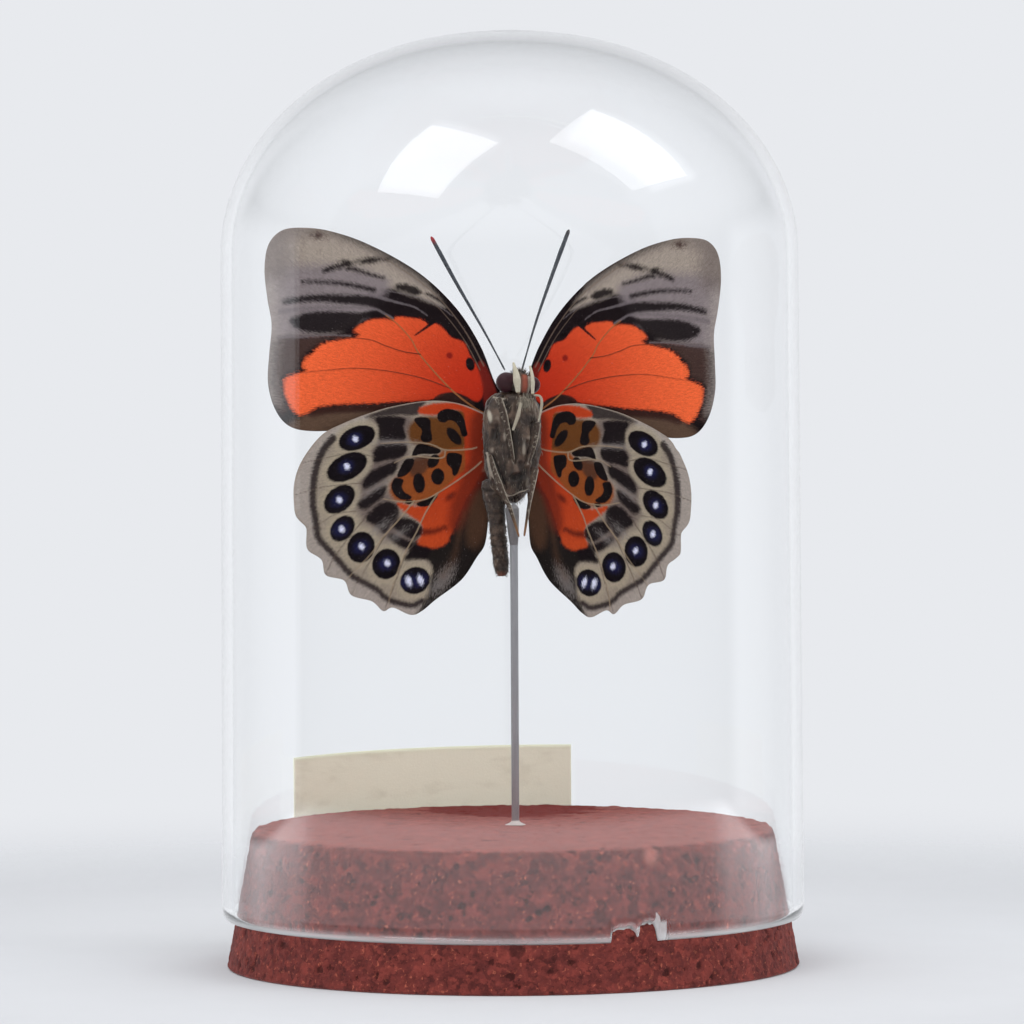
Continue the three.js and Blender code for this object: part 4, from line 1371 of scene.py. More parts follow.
def forewing_marks(flat):
    """The forewing's fields, bands and spots."""
    area, stroke, spot = flat.area, flat.stroke, flat.spot
    grey = area(
        (10.6, 22.5), (12.2, 22.9), (14, 23.5), (15.4, 24), (17, 24.5), (18.8, 25.2), (20.5, 25.35),
        (22, 25.1), (22.3, 24.4), (21.8, 23.6), (22.4, 22.6), (22.8, 21.6), (24, 20.4), (27, 18.5),
        (30, 17.9), (36, 17.6), (41, 17.4), (42, 28), (40, 36), (33, 35.2), (29, 33.9), (23, 31.5),
        (17, 28.2), (13, 25.2),
    )
    warm = area(
        (4.2, 9.4), (4.6, 11.4), (5.4, 13.2), (6.6, 15), (7.6, 16.9), (9.6, 17.7), (10.8, 19), (12.1, 19.8),
        (13.2, 19.6), (14.3, 20.4), (16.2, 20.6), (18.2, 20.8), (18.8, 20.2), (20.5, 20.4), (22.4, 20.2),
        (24.3, 19.3), (25.2, 18.5), (24.2, 17.7), (26.6, 17), (28.9, 16.6), (30.6, 15.9), (31.4, 14.9),
        (32.6, 14), (33.2, 12.8), (32.7, 11.9), (34.7, 11.3), (36.1, 10.4), (35.9, 8.3), (35, 6.3),
        (34, 5.1), (32.4, 5.2), (30.5, 6.3), (26.6, 6.8), (22, 7), (18.5, 7.3), (15.1, 7.5), (11.6, 8),
        (9.7, 8.9), (7.5, 8.6), (5.2, 7.6),
    )
    trail = area(
        (6, 4.2), (15, 5.6), (22, 5.9), (30, 5.4), (33.6, 4.6), (36, 2), (31, 1.4), (25, 2), (15, 3),
        (5, 4),
    )
    brown = any_of(
        area(
            (25.6, 17.6), (28.9, 17.4), (31, 17.4), (36.8, 17), (37.5, 14), (37.5, 10), (37.2, 6.4),
            (36.2, 5.2), (35.6, 6), (36.3, 8.4), (36.6, 10.6), (35.6, 11.6), (33.6, 12.3), (33.4, 13.6),
            (31.8, 15.4), (30, 16.6), (28, 16.9),
        ),
        spot(31.1, 33.5, 1.1, 0.65, 10),
    )
    tip = area(
        (32.5, 33.6), (33, 35.2), (40, 35), (40.5, 27), (38.6, 25.6), (36, 26.6), (34.8, 29.5), (35, 32),
    )
    margin = stroke(
        1.5, (39, 24.6), (38.7, 22), (38.5, 18.6), (38.7, 14.5), (38.6, 10.5), (37.8, 7.2), tip=0.6,
    )
    mauve = area(
        (19.5, 26), (22, 27.6), (26, 28.5), (31, 28.8), (38.6, 28), (39.6, 22), (38.5, 17), (30, 17.8),
        (24, 20.2), (22, 22),
    )
    costal = stroke(0.8, (14, 26), (19, 29.2), (24, 31.8), (29, 33.6), tip=0.5)
    red_root = area((1.8, 7), (2.8, 10.6), (4.5, 14), (5.3, 13.2), (4.6, 10.4), (4.2, 7.4), (3.4, 5.8))
    bands = any_of(
        spot(22.8, 29.5, 1.9, 0.52, -9), spot(20.2, 29.7, 0.5, 0.24, -20),
        spot(26.4, 28.95, 1.2, 0.6, 6),
        stroke(0.44, (26.6, 28.9), (28.2, 28.4), (29.9, 27.8), tip=0.38),
        stroke(0.2, (20.6, 26.8), (22.5, 27.3), (24.5, 27.9), (26.2, 28.3), tip=0.34),
        stroke(0.38, (22, 24.85), (24.2, 25.35), (26.6, 25.75), (30, 26), (33.4, 25.95), tip=0.2),
        area(
            (14.3, 24.6), (15.4, 25.5), (17, 25.95), (18.5, 25.8), (18.4, 25.15), (16.8, 24.6),
            (15.4, 24.2),
        ),
        stroke(0.3, (10.6, 22.8), (12, 23.7), (13.6, 24.5), tip=0.22),
        stroke(
            0.92, (21.3, 22.9), (24, 23.25), (27, 23.35), (30, 23.45), (33, 23.3), (36.2, 22.8), tip=0.4,
        ),
        area(
            (19.6, 20.8), (22, 21.1), (25.1, 21.35), (28.9, 21.45), (32.2, 21.2), (34.2, 20.6),
            (35.4, 19.8), (34.6, 18.8), (33, 18.1), (30, 17.9), (27.5, 18.1), (25.4, 18.3), (24, 19.9),
            (22.6, 20.5),
        ),
        stroke(0.55, (20.4, 21.3), (23, 21), (26, 20.4), (29, 19.9), tip=0.5),
    )
    under = stroke(0.6, (11.5, 7.1), (15, 6.9), (20, 6.5), (25, 6.2), (29, 5.9), (31.4, 5.3), tip=0.5)
    dark = any_of(
        spot(6.5, 13.5, 0.7, 1.05, -15),
        stroke(0.3, (11.4, 20.8), (13.4, 19.3), (15.3, 17.9), tip=0.12),
    )
    root_fold = area((5.6, 7), (7.6, 8.5), (9, 9), (11.2, 8.7), (12.2, 7.6), (10, 6.6))
    blurred = spot(9.8, 14.8, 0.52, 0.5)
    streaks = any_of(
        stroke(0.08, (13.4, 21), (15.5, 22.3), (18.2, 23), (20.6, 23.6), (22.8, 24.3), tip=0.26),
        stroke(
            0.14, (18.9, 20.5), (20.2, 21.2), (21.7, 21.85), (25, 22.05), (29, 21.95), (33, 21.7),
            (37, 21.2), tip=0.42,
        ),
        stroke(0.1, (25.6, 17.6), (28.9, 17.6), (32.8, 17.3), (37.4, 17.2), tip=0.2),
        stroke(0.07, (9.4, 21), (11.6, 22.5), (14.2, 23.6), (17.4, 24.4), (20.6, 24.9), tip=0.05),
    )
    costa = any_of(
        stroke(0.12, (4.3, 13.2), (7.1, 18.2), (10.6, 22.7), (14.8, 26.4), (21, 30.3), tip=0.06),
        stroke(0.09, (4.9, 12.6), (7.6, 17.4), (11.2, 21.8), (14.6, 24.8), tip=0.05),
    )
    tan = stroke(0.15, *FORE_VEINS[0], tip=0.09)
    fine = any_of(stroke(0.1, *FORE_VEINS[1], tip=0.07), stroke(0.1, *FORE_VEINS[2], tip=0.07))
    return dict(
        grey=grey, warm=warm, trail=trail, brown=brown, margin=margin, bands=bands, dark=dark, mauve=mauve,
        costal=costal, tip=tip, red_root=red_root, under=under, root_fold=root_fold, blurred=blurred,
        streaks=streaks, costa=costa, tan=tan, fine=fine,
    )


def hindwing_marks(flat):
    """The hindwing's eyespots, blotches, fields and wavy border."""
    area, stroke, spot = flat.area, flat.stroke, flat.spot
    border = (
        (22.6, 4.6), (25.4, 3.2), (28.2, 1.4), (29.8, -0.6), (30.7, -3), (31.2, -5.8), (31.2, -9),
        (30.7, -11.7), (30.2, -14.3), (28.3, -16.4), (26.5, -18.4), (24.4, -20.4), (21, -22.2), (19, -23.8),
        (15.4, -24.7), (13.6, -24),
    )
    margin = area(*border, (11, -27), (20, -30), (30, -24), (36, -14), (37, -2), (31, 5), (24, 8))
    ochre = area(
        (6.6, 4.6), (8, 6.4), (11, 5.3), (14.6, 4.9), (16.2, 3.4), (16, 1.2), (14.8, 0.6), (12, 0),
        (9, -0.6), (6.8, -0.4),
    )
    amber = area(
        (6.9, 0.2), (10.4, -0.2), (12, -1.2), (14, -1.6), (15.6, -2.2), (17.6, -4.2), (19, -5.6),
        (18.6, -7.8), (16.4, -8.6), (13.5, -8.4), (10.5, -7), (7.9, -4.8), (6.6, -3),
    )
    umber = area((12.8, -1.1), (15.4, -1.4), (16, -3.2), (15.4, -4.4), (13.8, -3.9), (12.9, -2.6))
    warm = any_of(
        area(
            (4.2, 5), (5.4, 6.6), (8.4, 7.3), (12.1, 7.2), (14.6, 6.4), (14.4, 5.5), (11.8, 5.4),
            (9.5, 6.2), (7.6, 5.8), (7.4, 3.4), (7.3, 0), (7.2, -3.2), (8.6, -4.6), (7.4, -7.4),
            (5.4, -5.4), (4, -1),
        ),
        area(
            (5.2, -2.1), (7.7, -3.6), (9.5, -5.3), (11, -6.7), (13, -8.6), (15.1, -9), (17.4, -8.5),
            (17.7, -9.1), (16.6, -10), (15.1, -11), (14, -11.8), (13.8, -13.2), (14.5, -14.7),
            (13.8, -15.5), (11.7, -15.6), (9.9, -14.8), (9, -12.9), (8, -10.3), (6.9, -7.7), (5.6, -5.6),
            (4.8, -3),
        ),
    )
    deep = area(
        (3, 7), (6.2, 5.4), (6.6, 2), (6.6, -1.5), (8, -5.2), (9.4, -9), (9.6, -12.5), (7.6, -12),
        (5.6, -7.5), (3, -2),
    )
    inner = area(
        (1, -5), (5.2, -3.6), (7.4, -7.4), (9.4, -11), (10.4, -13.6), (12.4, -14.9), (14, -14.8),
        (14.8, -14.4), (15.8, -16.4), (16.3, -17.6), (14.8, -17.1), (13.2, -17.4), (12.2, -18.3),
        (12.1, -19.4), (12.5, -21), (12.6, -22.6), (13.6, -24.6), (15, -28), (8, -24), (0, -16),
    )
    lead = area(
        (12.6, 8.8), (14.2, 6.6), (15, 5.3), (18, 5.3), (21.8, 4.8), (23, 4.9), (20.6, 6), (17, 7.2),
    )
    rings = any_of(
        *[spot(x, v, long + 0.95, wide + 0.85, tilt) for x, v, long, wide, tilt in EYESPOTS]
    )
    smoke = any_of(
        area(
            (16.8, 4.7), (19, 5.1), (21.6, 4.7), (21, 3.4), (20.8, 1.2), (18.8, 1.2), (17.1, 1.2),
            (16.6, 1.9), (17, 3.3),
        ),
        area(
            (16.7, 0.7), (19.5, 0.8), (21, 0.4), (21.8, -1), (21.5, -2.3), (19.6, -1.9), (17.7, -1.5),
            (16.6, -0.7),
        ),
        area(
            (18.1, -2.1), (20.6, -2.9), (22.3, -3.9), (23.4, -5.6), (22.9, -6.6), (21.3, -5.8),
            (19.7, -4.7), (18.1, -3.6),
        ),
        area(
            (19.6, -5.9), (21.2, -6.4), (22.8, -7.7), (24, -8.6), (23.9, -9.4), (22.8, -9.7), (21.2, -8.6),
            (19.9, -7.4),
        ),
        area(
            (17.7, -9.1), (19.1, -8.4), (20.8, -8.9), (22.4, -10.4), (22.8, -11.3), (21.2, -12.3),
            (19.7, -13.4), (18.6, -11.9), (17.6, -10.7),
        ),
        area(
            (13.7, -12.5), (15.2, -11.2), (17, -10.9), (18.2, -11.3), (18.4, -12.3), (17.1, -13.4),
            (15.4, -14.2), (14, -13.6),
        ),
        area((15.1, -14.8), (16.9, -14.1), (18.4, -13.4), (19.1, -14), (17.4, -15.4), (15.6, -15.8)),
        area((12.6, -15.6), (15, -15.2), (15.9, -16.4), (16.3, -17.4), (13.4, -17.3), (12.6, -16.6)),
    )
    dark = any_of(
        area(
            (7.1, 3.4), (7.5, 4.9), (8.4, 6), (10.3, 6.4), (11.6, 5.7), (11.6, 4.6), (10.6, 4.2),
            (9.9, 4.6), (9, 4.4), (8.2, 3.4), (7.7, 2.1), (6.9, 2.3),
        ),
        spot(9, 2.1, 1.65, 0.8, 50),
        area(
            (12.9, 4.7), (14.3, 5), (15.4, 4.7), (14.9, 3.8), (14.1, 2.9), (14.3, 1.6), (13.6, 1),
            (12.5, 1.4), (12.7, 3.1),
        ),
        area(
            (11.1, -0.1), (12.5, 0.4), (14.3, 0.8), (15.1, 0.3), (15.6, -1.2), (14, -0.8), (12.1, -0.8),
            (11.3, -0.6),
        ),
        area(
            (7.9, -0.7), (9.9, -0.6), (10.1, -2.1), (9.3, -3), (9.1, -4), (8.5, -4), (8, -2.9), (7.7, -1.7),
        ),
        spot(12.2, -1.9, 1.2, 0.8, -55),
        area((15.3, -1.7), (16.6, -1.7), (17.5, -3.2), (17.9, -4.5), (16.7, -4.3), (15.6, -3.2)),
        spot(11.45, -4.3, 1.05, 1.3, 0), spot(14.4, -5.4, 0.95, 1.6, -6),
        area(
            (16.9, -4.9), (18.2, -4.7), (18.8, -5.8), (18.4, -7.1), (17.3, -8), (15.8, -8), (15.6, -7.5),
            (16.6, -6.9), (17.1, -6),
        ),
        area((11.4, -7.2), (13.2, -7.9), (14.7, -8.6), (14, -9.1), (12.5, -8.8)),
        spot(15.9, -8.4, 0.7, 0.35, 0),
    )
    shadow = any_of(
        area(
            (16, 5.2), (22.2, 4.9), (22, 2), (22.6, -1), (23.6, -4), (24.6, -7), (24.6, -9.6),
            (22.6, -12), (19.6, -14.2), (16.4, -15.8), (14.2, -14.6), (14.2, -12.2), (17, -10.6),
            (18.2, -8), (19.6, -6), (18, -3.4), (16.4, -1), (16.2, 2),
        ),
        stroke(0.5, (22.4, 3.8), (23.4, -0.6), (24.4, -5), tip=0.4),
    )
    rays = any_of(
        stroke(0.09, (22.6, -10.8), (25.2, -14), (27.6, -17.3), (28.9, -20)),
        stroke(0.09, (19.5, -13.6), (21.6, -17.3), (23.6, -20.8), (24.8, -23.1)),
        stroke(0.09, (16.4, -16.9), (17.6, -20.3), (18.8, -23.7), (19.4, -25.2)),
        stroke(0.08, (24.4, -10), (27.6, -10.6), (30.4, -12.4), (32, -13.2)),
        stroke(0.08, (23.6, -5.6), (26.6, -5.9), (30, -6.4), (34, -7.6)),
        stroke(0.08, (21.4, -1.4), (25.2, -0.9), (28.8, -1.6), (33, -2.6)),
    )
    scorch = any_of(
        stroke(0.5, (13.4, -13.1), (11.8, -12.9), (10.2, -12.3), tip=0.35),
        spot(9.4, -7.4, 0.9, 0.45, -40),
    )
    line_out = stroke(0.16, (3, 5.2), *HINDWING_EDGE[2:14], tip=0.12)
    dusting = any_of(
        spot(10.4, -20.6, 2.8, 1.1, -55), spot(17.6, -13.6, 1.3, 0.4, -35),
        spot(18.8, 0.95, 3, 0.35, 0), spot(20.6, -12.6, 1.6, 0.4, -40),
        spot(21.4, -6.4, 1.8, 0.35, -30),
    )
    fold = any_of(
        area(
            (2.8, -6.2), (5, -6.4), (6.2, -8.4), (6.9, -11.7), (6.6, -14.6), (5.2, -15.4), (4, -14),
            (3, -10),
        ),
        stroke(0.22, (7, -10), (7.9, -13.6), (8.8, -17.4), (10.4, -20), tip=0.1),
    )
    eye = any_of(*[spot(x, v, long, wide, tilt) for x, v, long, wide, tilt in EYESPOTS])
    halo = any_of(*[spot(x + 0.1, v, 0.85, 0.65, -30) for x, v in PUPILS])
    pupil = [spot(x, v, 0.5, 0.42, 60) for x, v in PUPILS[:-2]]
    pupil = any_of(*pupil, *[spot(x, v, 0.78, 0.42, 70) for x, v in PUPILS[-2:]])
    veins = any_of(*[stroke(0.14, *vein, tip=0.08) for vein in HIND_VEINS])
    return dict(
        margin=margin, ochre=ochre, warm=warm, inner=inner, lead=lead, rings=rings, smoke=smoke, dark=dark,
        dusting=dusting, fold=fold, border=stroke(0.58, *border[2:], tip=0.45), eye=eye, scorch=scorch,
        line_out=line_out, amber=amber, umber=umber, deep=deep, shadow=shadow, rays=rays, halo=halo,
        pupil=pupil, veins=veins,
    )


def forewing_finish(finishes):
    """The forewing's material, layer by layer."""
    black, grey = tuple(finishes.black), tuple(finishes.grey)
    warm = (paint(184, 46, 24), paint(242, 104, 58))
    mauve = paint(130, 119, 120)
    layers = [
        ("grey", grey, 0.4, 0.5, 1.0),
        ("mauve", mauve, 0.6, 0.8, 0.95),
        ("tip", paint(118, 106, 101), 0.9, 0.9, 0.8),
        ("costal", paint(116, 105, 98), 0.5, 0.4, 0.6),
        ("trail", paint(92, 70, 56), 0.4, 0.4, 1.0),
        ("brown", paint(70, 51, 46), 0.35, 0.6, 0.95),
        ("under", paint(56, 31, 26), 0.3, 0.4, 0.95),
        ("warm", warm, 0.18, 0.5, 1.0),
        ("root_fold", paint(48, 29, 25), 0.2, 0.25, 0.95),
        ("red_root", paint(120, 34, 26), 0.3, 0.3, 0.85),
        ("margin", paint(160, 149, 143), 0.9, 0.8, 0.85),
        ("bands", black, 0.22, 0.4, 0.96),
        ("streaks", paint(114, 104, 106), 0.1, 0.16, 0.75),
        ("blurred", paint(120, 22, 18), 0.2, 0.25, 0.85),
        ("dark", black, 0.1, 0.25, 1.0),
        ("costa", paint(112, 94, 82), 0.07, 0.04, 0.7),
        ("tan", paint(150, 96, 58), 0.06, 0.03, 0.9),
        ("fine", paint(84, 42, 30), 0.06, 0.04, 0.8),
    ]
    above = [
        ("warm", (paint(196, 60, 26), paint(226, 96, 44)), 0.3, 0.5, 0.95),
        ("grey", paint(64, 52, 48), 0.5, 0.5, 0.7),
        ("bands", paint(26, 18, 18), 0.2, 0.3, 0.7),
        ("fine", paint(60, 34, 24), 0.06, 0.04, 0.6),
    ]
    dorsal = paint(40, 28, 24), above
    return wing_material("forewing_scales", paint(26, 18, 20), layers, dorsal)


def hindwing_finish(finishes):
    """The hindwing's material, layer by layer."""
    black, ochre = tuple(finishes.black), tuple(finishes.ochre)
    warm = (paint(172, 56, 26), paint(190, 76, 34))
    pale = paint(164, 151, 130)
    layers = [
        ("margin", paint(160, 149, 140), 0.2, 0.3, 1.0),
        ("shadow", paint(98, 84, 80), 0.9, 0.8, 0.85),
        ("ochre", ochre, 0.5, 0.4, 1.0),
        ("amber", paint(136, 70, 32), 0.4, 0.4, 1.0),
        ("umber", paint(74, 47, 34), 0.4, 0.4, 0.9),
        ("lead", paint(46, 38, 38), 0.3, 0.4, 0.95),
        ("rings", pale, 0.3, 0.35, 0.75),
        ("inner", paint(30, 25, 23), 0.3, 0.4, 1.0),
        ("warm", warm, 0.24, 0.6, 1.0),
        ("deep", paint(104, 34, 20), 1.0, 0.5, 0.8),
        ("smoke", paint(22, 15, 18), 0.24, 0.5, 0.97),
        ("dusting", paint(132, 124, 120), 0.4, 1.4, 0.6),
        ("scorch", paint(84, 26, 16), 0.4, 0.5, 0.85),
        ("fold", paint(86, 58, 40), 0.9, 0.7, 0.6),
        ("dark", paint(22, 16, 17), 0.1, 0.2, 1.0),
        ("border", paint(44, 35, 36), 0.18, 0.34, 0.95),
        ("line_out", paint(150, 134, 122), 0.1, 0.1, 0.8),
        ("rays", paint(92, 78, 68), 0.06, 0.05, 0.8),
        ("eye", paint(20, 15, 19), 0.08, 0.14, 1.0),
        ("halo", paint(44, 50, 112), 0.5, 0.4, 0.5),
        ("pupil", paint(220, 221, 240), 0.14, 0.3, 0.95),
        ("veins", paint(150, 130, 106), 0.05, 0.03, 0.75),
    ]
    above = [
        ("ochre", paint(150, 66, 30), 0.8, 0.6, 0.8),
        ("warm", (paint(190, 62, 26), paint(206, 80, 36)), 0.5, 0.6, 0.85),
        ("eye", paint(22, 16, 18), 0.2, 0.2, 0.85),
        ("border", paint(28, 20, 20), 0.3, 0.3, 0.9),
        ("inner", paint(92, 76, 64), 0.4, 0.4, 0.8),
    ]
    dorsal = paint(58, 38, 28), above
    return wing_material("hindwing_scales", tuple(finishes.beige), layers, dorsal)


def resized(edge, grow, x_from):
    """The outline with the points beyond an x moved out by a part of a millimetre."""
    return [(x + grow * min(max((x - x_from) / 10, 0), 1), v) for x, v in edge]


class OBJECT_OT_butterfly_wings(bpy.types.Operator):
    """Build the four wings, patterned and veined on both faces"""

    bl_idname = "object.glass_dome_wings"
    bl_label = "Wings"

    def execute(self, context):
        """Builds both wings on either side, a little wider on the left."""
        finishes = context.scene.glass_dome.finishes
        fore, hind = forewing_finish(finishes), hindwing_finish(finishes)

        def fore_camber(x, v):
            """Shallow waves: a sine of the height, fuller towards the margin."""
            return 0.16 * np.sin((v - 4) / 5.2) * clamp(x / 20)

        def hind_camber(x, v):
            """Pleats between the veins: a sine of the bearing, fuller towards the margin."""
            return 0.2 + 0.14 * np.sin(np.arctan2(v - 1, x) * 9) * clamp(np.hypot(x, v) / 24)

        for side, name, fore_grow, hind_grow in ((-1, "left", 0.45, 0.35), (1, "right", 0.2, -0.3)):
            piece = add_wing(
                f"forewing_{name}_scaled", resized(FOREWING_EDGE, fore_grow, 28), (19, 15), FOREWING_ROOT,
                side, 1.0, forewing_marks, FORE_VEINS, fore_camber,
            )
            place(piece, fore, "forewing", f"forewing_{name}")
            piece.visible_glossy = False
            piece = add_wing(
                f"hindwing_{name}_scaled", resized(HINDWING_EDGE, hind_grow, 28), (17, -9), HINDWING_ROOT,
                side, 0.2, hindwing_marks, HIND_VEINS, hind_camber,
            )
            place(piece, hind, "hindwing", f"hindwing_{name}")
            piece.visible_glossy = False
        return {"FINISHED"}


# ---------- stage

# Directions in which the front of the glass mirrors a soft-edged window, its strength, the tangents of its
# half width and height, and how far its edge is soft.
WINDOWS = ((-0.403, -0.366, 0.839), (0.610, -0.081, 0.788))
WINDOW_LIGHT = 1.7
WINDOW_HALF = (0.24, 0.36)
WINDOW_SOFT = 0.05
# How far off the lamps stand, the height they aim at and the camera's step to the right, in metres.
LAMP_DISTANCE, LAMP_AIM = 0.85, 0.11
CAMERA_ASIDE = 0.17 * MM


class OBJECT_OT_dome_studio(bpy.types.Operator):
    """Set up the camera, the plain pale surround and floor, and two softboxes"""

    bl_idname = "object.glass_dome_studio"
    bl_label = "Studio"

    def camera(self, context, studio):
        """The camera looks at a point on the axis from the front, a little from above, turned a little."""
        pitch, roll = studio.pitch, studio.roll
        ahead = np.array([0, math.cos(pitch), -math.sin(pitch)])
        up = np.array([0, math.sin(pitch), math.cos(pitch)])
        right = np.array([1.0, 0, 0])
        turned_right = math.cos(roll) * right - math.sin(roll) * up
        up = math.cos(roll) * up + math.sin(roll) * right
        place_at = np.array([CAMERA_ASIDE, 0, studio.look_height]) - ahead * studio.distance
        camera = bpy.data.objects.new("camera", bpy.data.cameras.new("camera"))
        camera.data.lens = studio.lens
        camera.data.sensor_width = 36
        camera.data.clip_end = 20
        matrix = np.eye(4)
        matrix[:3, 0], matrix[:3, 1], matrix[:3, 2], matrix[:3, 3] = turned_right, up, -ahead, place_at
        camera.matrix_world = Matrix(matrix.tolist())
        context.scene.collection.objects.link(camera)
        context.scene.camera = camera

    def window(self, board, centre):
        """The light of a soft-edged upright rectangle around one direction. Its half width and height are
        tangents of the angles away from that direction."""
        ahead = np.array(centre) / np.linalg.norm(centre)
        side = np.cross((0, 0, 1), ahead)
        side /= np.linalg.norm(side)
        axes = (ahead, side, np.cross(ahead, side))
        vector = board.add("ShaderNodeTexCoord").outputs["Generated"]
        reach = []
        for axis in axes:
            dot = board.add("ShaderNodeVectorMath", {0: vector, 1: tuple(axis)}, operation="DOT_PRODUCT")
            reach.append(dot.outputs["Value"])
        facing = board.larger(reach[0], 0.05)
        light = WINDOW_LIGHT
        for along, half in zip(reach[1:], WINDOW_HALF):
            away = board.math("ABSOLUTE", board.math("DIVIDE", along, facing))
            inside = board.span(away, half - WINDOW_SOFT, half + WINDOW_SOFT, 1.0, 0.0)
            light = board.times(inside, light)
        return light

    def world(self, context, studio):
        """An even pale surround, a little brighter where the glass would dim it. What the glass mirrors is
        a studio: bright walls at the sides and behind, a white table, two windows, and dark in front."""
        world = bpy.data.worlds.new("pale_surround")
        world.use_nodes = True
        world.cycles.sampling_method = "NONE"
        context.scene.world = world
        board = Board(world.node_tree)
        world.node_tree.nodes.clear()
        generated = board.add("ShaderNodeTexCoord").outputs["Generated"]
        toward = board.add("ShaderNodeSeparateXYZ", {0: generated})
        rise = toward.outputs["Z"]
        back = board.times(toward.outputs["Y"], -1.0)
        bearing = board.math("ARCTAN2", toward.outputs["X"], back)
        aside = board.math("ABSOLUTE", bearing)

        def between(source, start, end, low, high):
            """A ramp over a bearing in degrees from the front."""
            return board.span(source, math.radians(start), math.radians(end), low, high)

        # Two walls that start beside the dome, brighter towards the back and gone towards the ceiling.
        walls = board.plus(between(bearing, -95, -93.6, 1.0, 0.0), between(bearing, 95, 103, 0.0, 1.0))
        walls = board.times(walls, between(aside, 128, 146, 0.88, 1.1))
        upward = board.span(rise, 0.05, 0.35)
        walls = board.times(walls, board.math("SUBTRACT", 1.0, upward))
        # The table, which ends at a horizon that climbs a little towards the sides.
        table = between(aside, 84, 96, 1.65, 2.9)
        table = board.math("SUBTRACT", table, between(aside, 116, 134, 0.0, 1.9))
        horizon = board.plus(rise, between(aside, 88, 122, 0.0, 0.0068))
        table = board.times(table, board.span(horizon, -0.0795, -0.0765, 1.0, 0.0))
        # The table straight under the dome glows, and so does the wall behind.
        glow = board.span(rise, -0.62, -0.4, 4.0, 0.0)
        behind = between(aside, 128, 146, 0.0, 1.0)
        behind = board.times(behind, board.span(rise, 0.1, 0.7, 1.08, 0.6))
        near = board.larger(walls, table)
        for light in (board.times(upward, 0.5), glow, behind):
            near = board.larger(near, light)
        for centre in WINDOWS:
            near = board.larger(near, self.window(board, centre))
        # Rays that have gone through more glass than one wall see a plain level. Scattered rays and rays
        # through the glass find the surround a little brighter.
        path = board.add("ShaderNodeLightPath")
        deep = board.math("GREATER_THAN", path.outputs["Transmission Depth"], 2.5)
        seen = board.plus(near, board.times(deep, board.math("SUBTRACT", 0.8, near)))
        scattered = board.math("GREATER_THAN", path.outputs["Diffuse Depth"], 0.5)
        mirrored = board.math("GREATER_THAN", path.outputs["Glossy Depth"], 0.5)
        mirrored = board.times(mirrored, board.math("SUBTRACT", 1.0, scattered))
        through = board.math("GREATER_THAN", path.outputs["Transmission Depth"], 0.5)
        plain = board.plus(1.0, board.times(through, 0.125))
        plain = board.plus(plain, board.times(scattered, 0.12))
        plain = board.times(plain, board.math("SUBTRACT", 1.0, mirrored))
        level = board.plus(plain, board.times(mirrored, seen))
        light = board.add("ShaderNodeBackground", {"Color": tuple(studio.surround), "Strength": level})
        board.add("ShaderNodeOutputWorld", {"Surface": light.outputs["Background"]})

    def floor(self):
        """A pale disc that fades into the surround well before its edge."""
        bearings = full_turn(96)
        radii = np.array([0.02, 0.06, 0.1, 0.2, 0.4, 0.8])
        top, thickness = -0.00002, 0.001
        rings = turned(np.stack([radii, np.full(len(radii), top)], axis=1), bearings)
        lower = rings[::-1] - (0, 0, thickness)
        piece = add_skin("pale_floor", np.concatenate([rings, lower]), (0, 0, top), (0, 0, top - thickness))
        material, board, shader, leave = new_material("pale_floor")
        gap = board.add("ShaderNodeVectorMath", {0: board.place()}, operation="LENGTH").outputs["Value"]
        pale = paint(204, 205, 207)
        shade = board.use("mottled", vector=board.place(), color=pale, scale=60.0, strength=0.02)
        wire(board, shader, Base_Color=shade, Roughness=0.9, Specular_IOR_Level=0.0)
        clear = board.add("ShaderNodeBsdfTransparent")
        faded = board.blend(board.span(gap, 0.08, 0.32), shader.outputs["BSDF"], clear.outputs["BSDF"])
        board.feed(leave, {"Surface": faded})
        piece.data.materials.append(material)
        piece.visible_glossy = False

    def softbox(self, context, name, toward, power, size):
        """A light of that width and height at a direction from the dome, facing it."""
        lamp = bpy.data.lights.new(name, "AREA")
        lamp.shape, lamp.size, lamp.size_y, lamp.energy = "RECTANGLE", *size, power
        light = bpy.data.objects.new(name, lamp)
        toward = np.array(toward) / np.linalg.norm(toward)
        matrix = np.eye(4)
        side = np.cross((0, 0, 1), toward)
        side /= np.linalg.norm(side)
        matrix[:3, 0], matrix[:3, 1], matrix[:3, 2] = side, np.cross(toward, side), toward
        matrix[:3, 3] = toward * LAMP_DISTANCE + (0, 0, LAMP_AIM)
        light.matrix_world = Matrix(matrix.tolist())
        light.visible_camera = False
        light.visible_glossy = False
        context.scene.collection.objects.link(light)

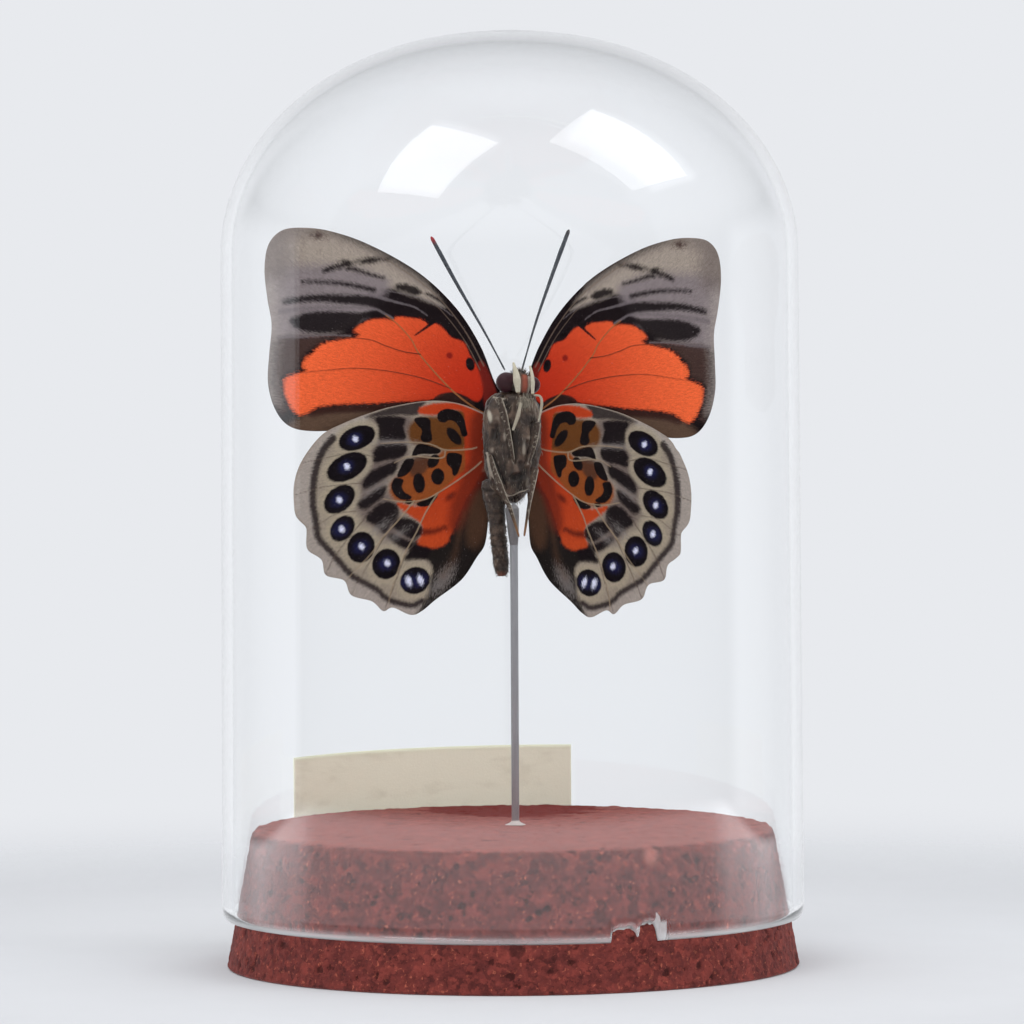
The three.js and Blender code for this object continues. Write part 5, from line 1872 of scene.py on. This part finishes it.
    def execute(self, context):
        """Places the camera, the surround, the floor and the softboxes."""
        studio = context.scene.glass_dome.studio
        context.scene.view_settings.view_transform = "Standard"
        self.camera(context, studio)
        self.world(context, studio)
        self.floor()
        self.softbox(context, "softbox_left", (-0.43, -0.40, 0.81), studio.softbox, (0.4, 0.6))
        self.softbox(context, "softbox_right", (0.56, -0.15, 0.81), studio.softbox, (0.45, 0.58))
        return {"FINISHED"}


class VIEW3D_PT_glass_dome(bpy.types.Panel):
    """Lists the pieces and their sizes and colours"""

    bl_label = "Glass Dome"
    bl_idname = "VIEW3D_PT_glass_dome"
    bl_space_type = "VIEW_3D"
    bl_region_type = "UI"
    bl_category = "Glass Dome"

    def draw(self, context):
        """One box for each group of settings, then the operators."""
        settings = context.scene.glass_dome
        for group in (settings.dome, settings.cork, settings.finishes, settings.studio):
            box = self.layout.box()
            for key in group.bl_rna.properties.keys():
                if key not in ("rna_type", "name"):
                    box.prop(group, key)
        for operator in OPERATORS:
            self.layout.operator(operator.bl_idname)


OPERATORS = (
    OBJECT_OT_dome_studio,
    OBJECT_OT_cork_base,
    OBJECT_OT_pin_and_glue,
    OBJECT_OT_paper_label,
    OBJECT_OT_butterfly_body,
    OBJECT_OT_butterfly_limbs,
    OBJECT_OT_butterfly_wings,
    OBJECT_OT_glass_dome,
)
CLASSES = (DomeSizes, CorkSizes, Finishes, StudioSettings, GlassDomeScene, *OPERATORS, VIEW3D_PT_glass_dome)


def register():
    """Registers the classes and the settings."""
    for item in CLASSES:
        bpy.utils.register_class(item)
    bpy.types.Scene.glass_dome = PointerProperty(type=GlassDomeScene)


def unregister():
    """Takes them away again."""
    del bpy.types.Scene.glass_dome
    for item in reversed(CLASSES):
        bpy.utils.unregister_class(item)


def main():
    """Registers the add-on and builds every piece."""
    register()
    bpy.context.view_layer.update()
    build_groups()
    bpy.ops.object.glass_dome_studio()
    bpy.ops.object.glass_dome_cork()
    bpy.ops.object.glass_dome_pin()
    bpy.ops.object.glass_dome_label()
    bpy.ops.object.glass_dome_body()
    bpy.ops.object.glass_dome_limbs()
    bpy.ops.object.glass_dome_wings()
    bpy.ops.object.glass_dome_shell()


if __name__ == "__main__":
    main()
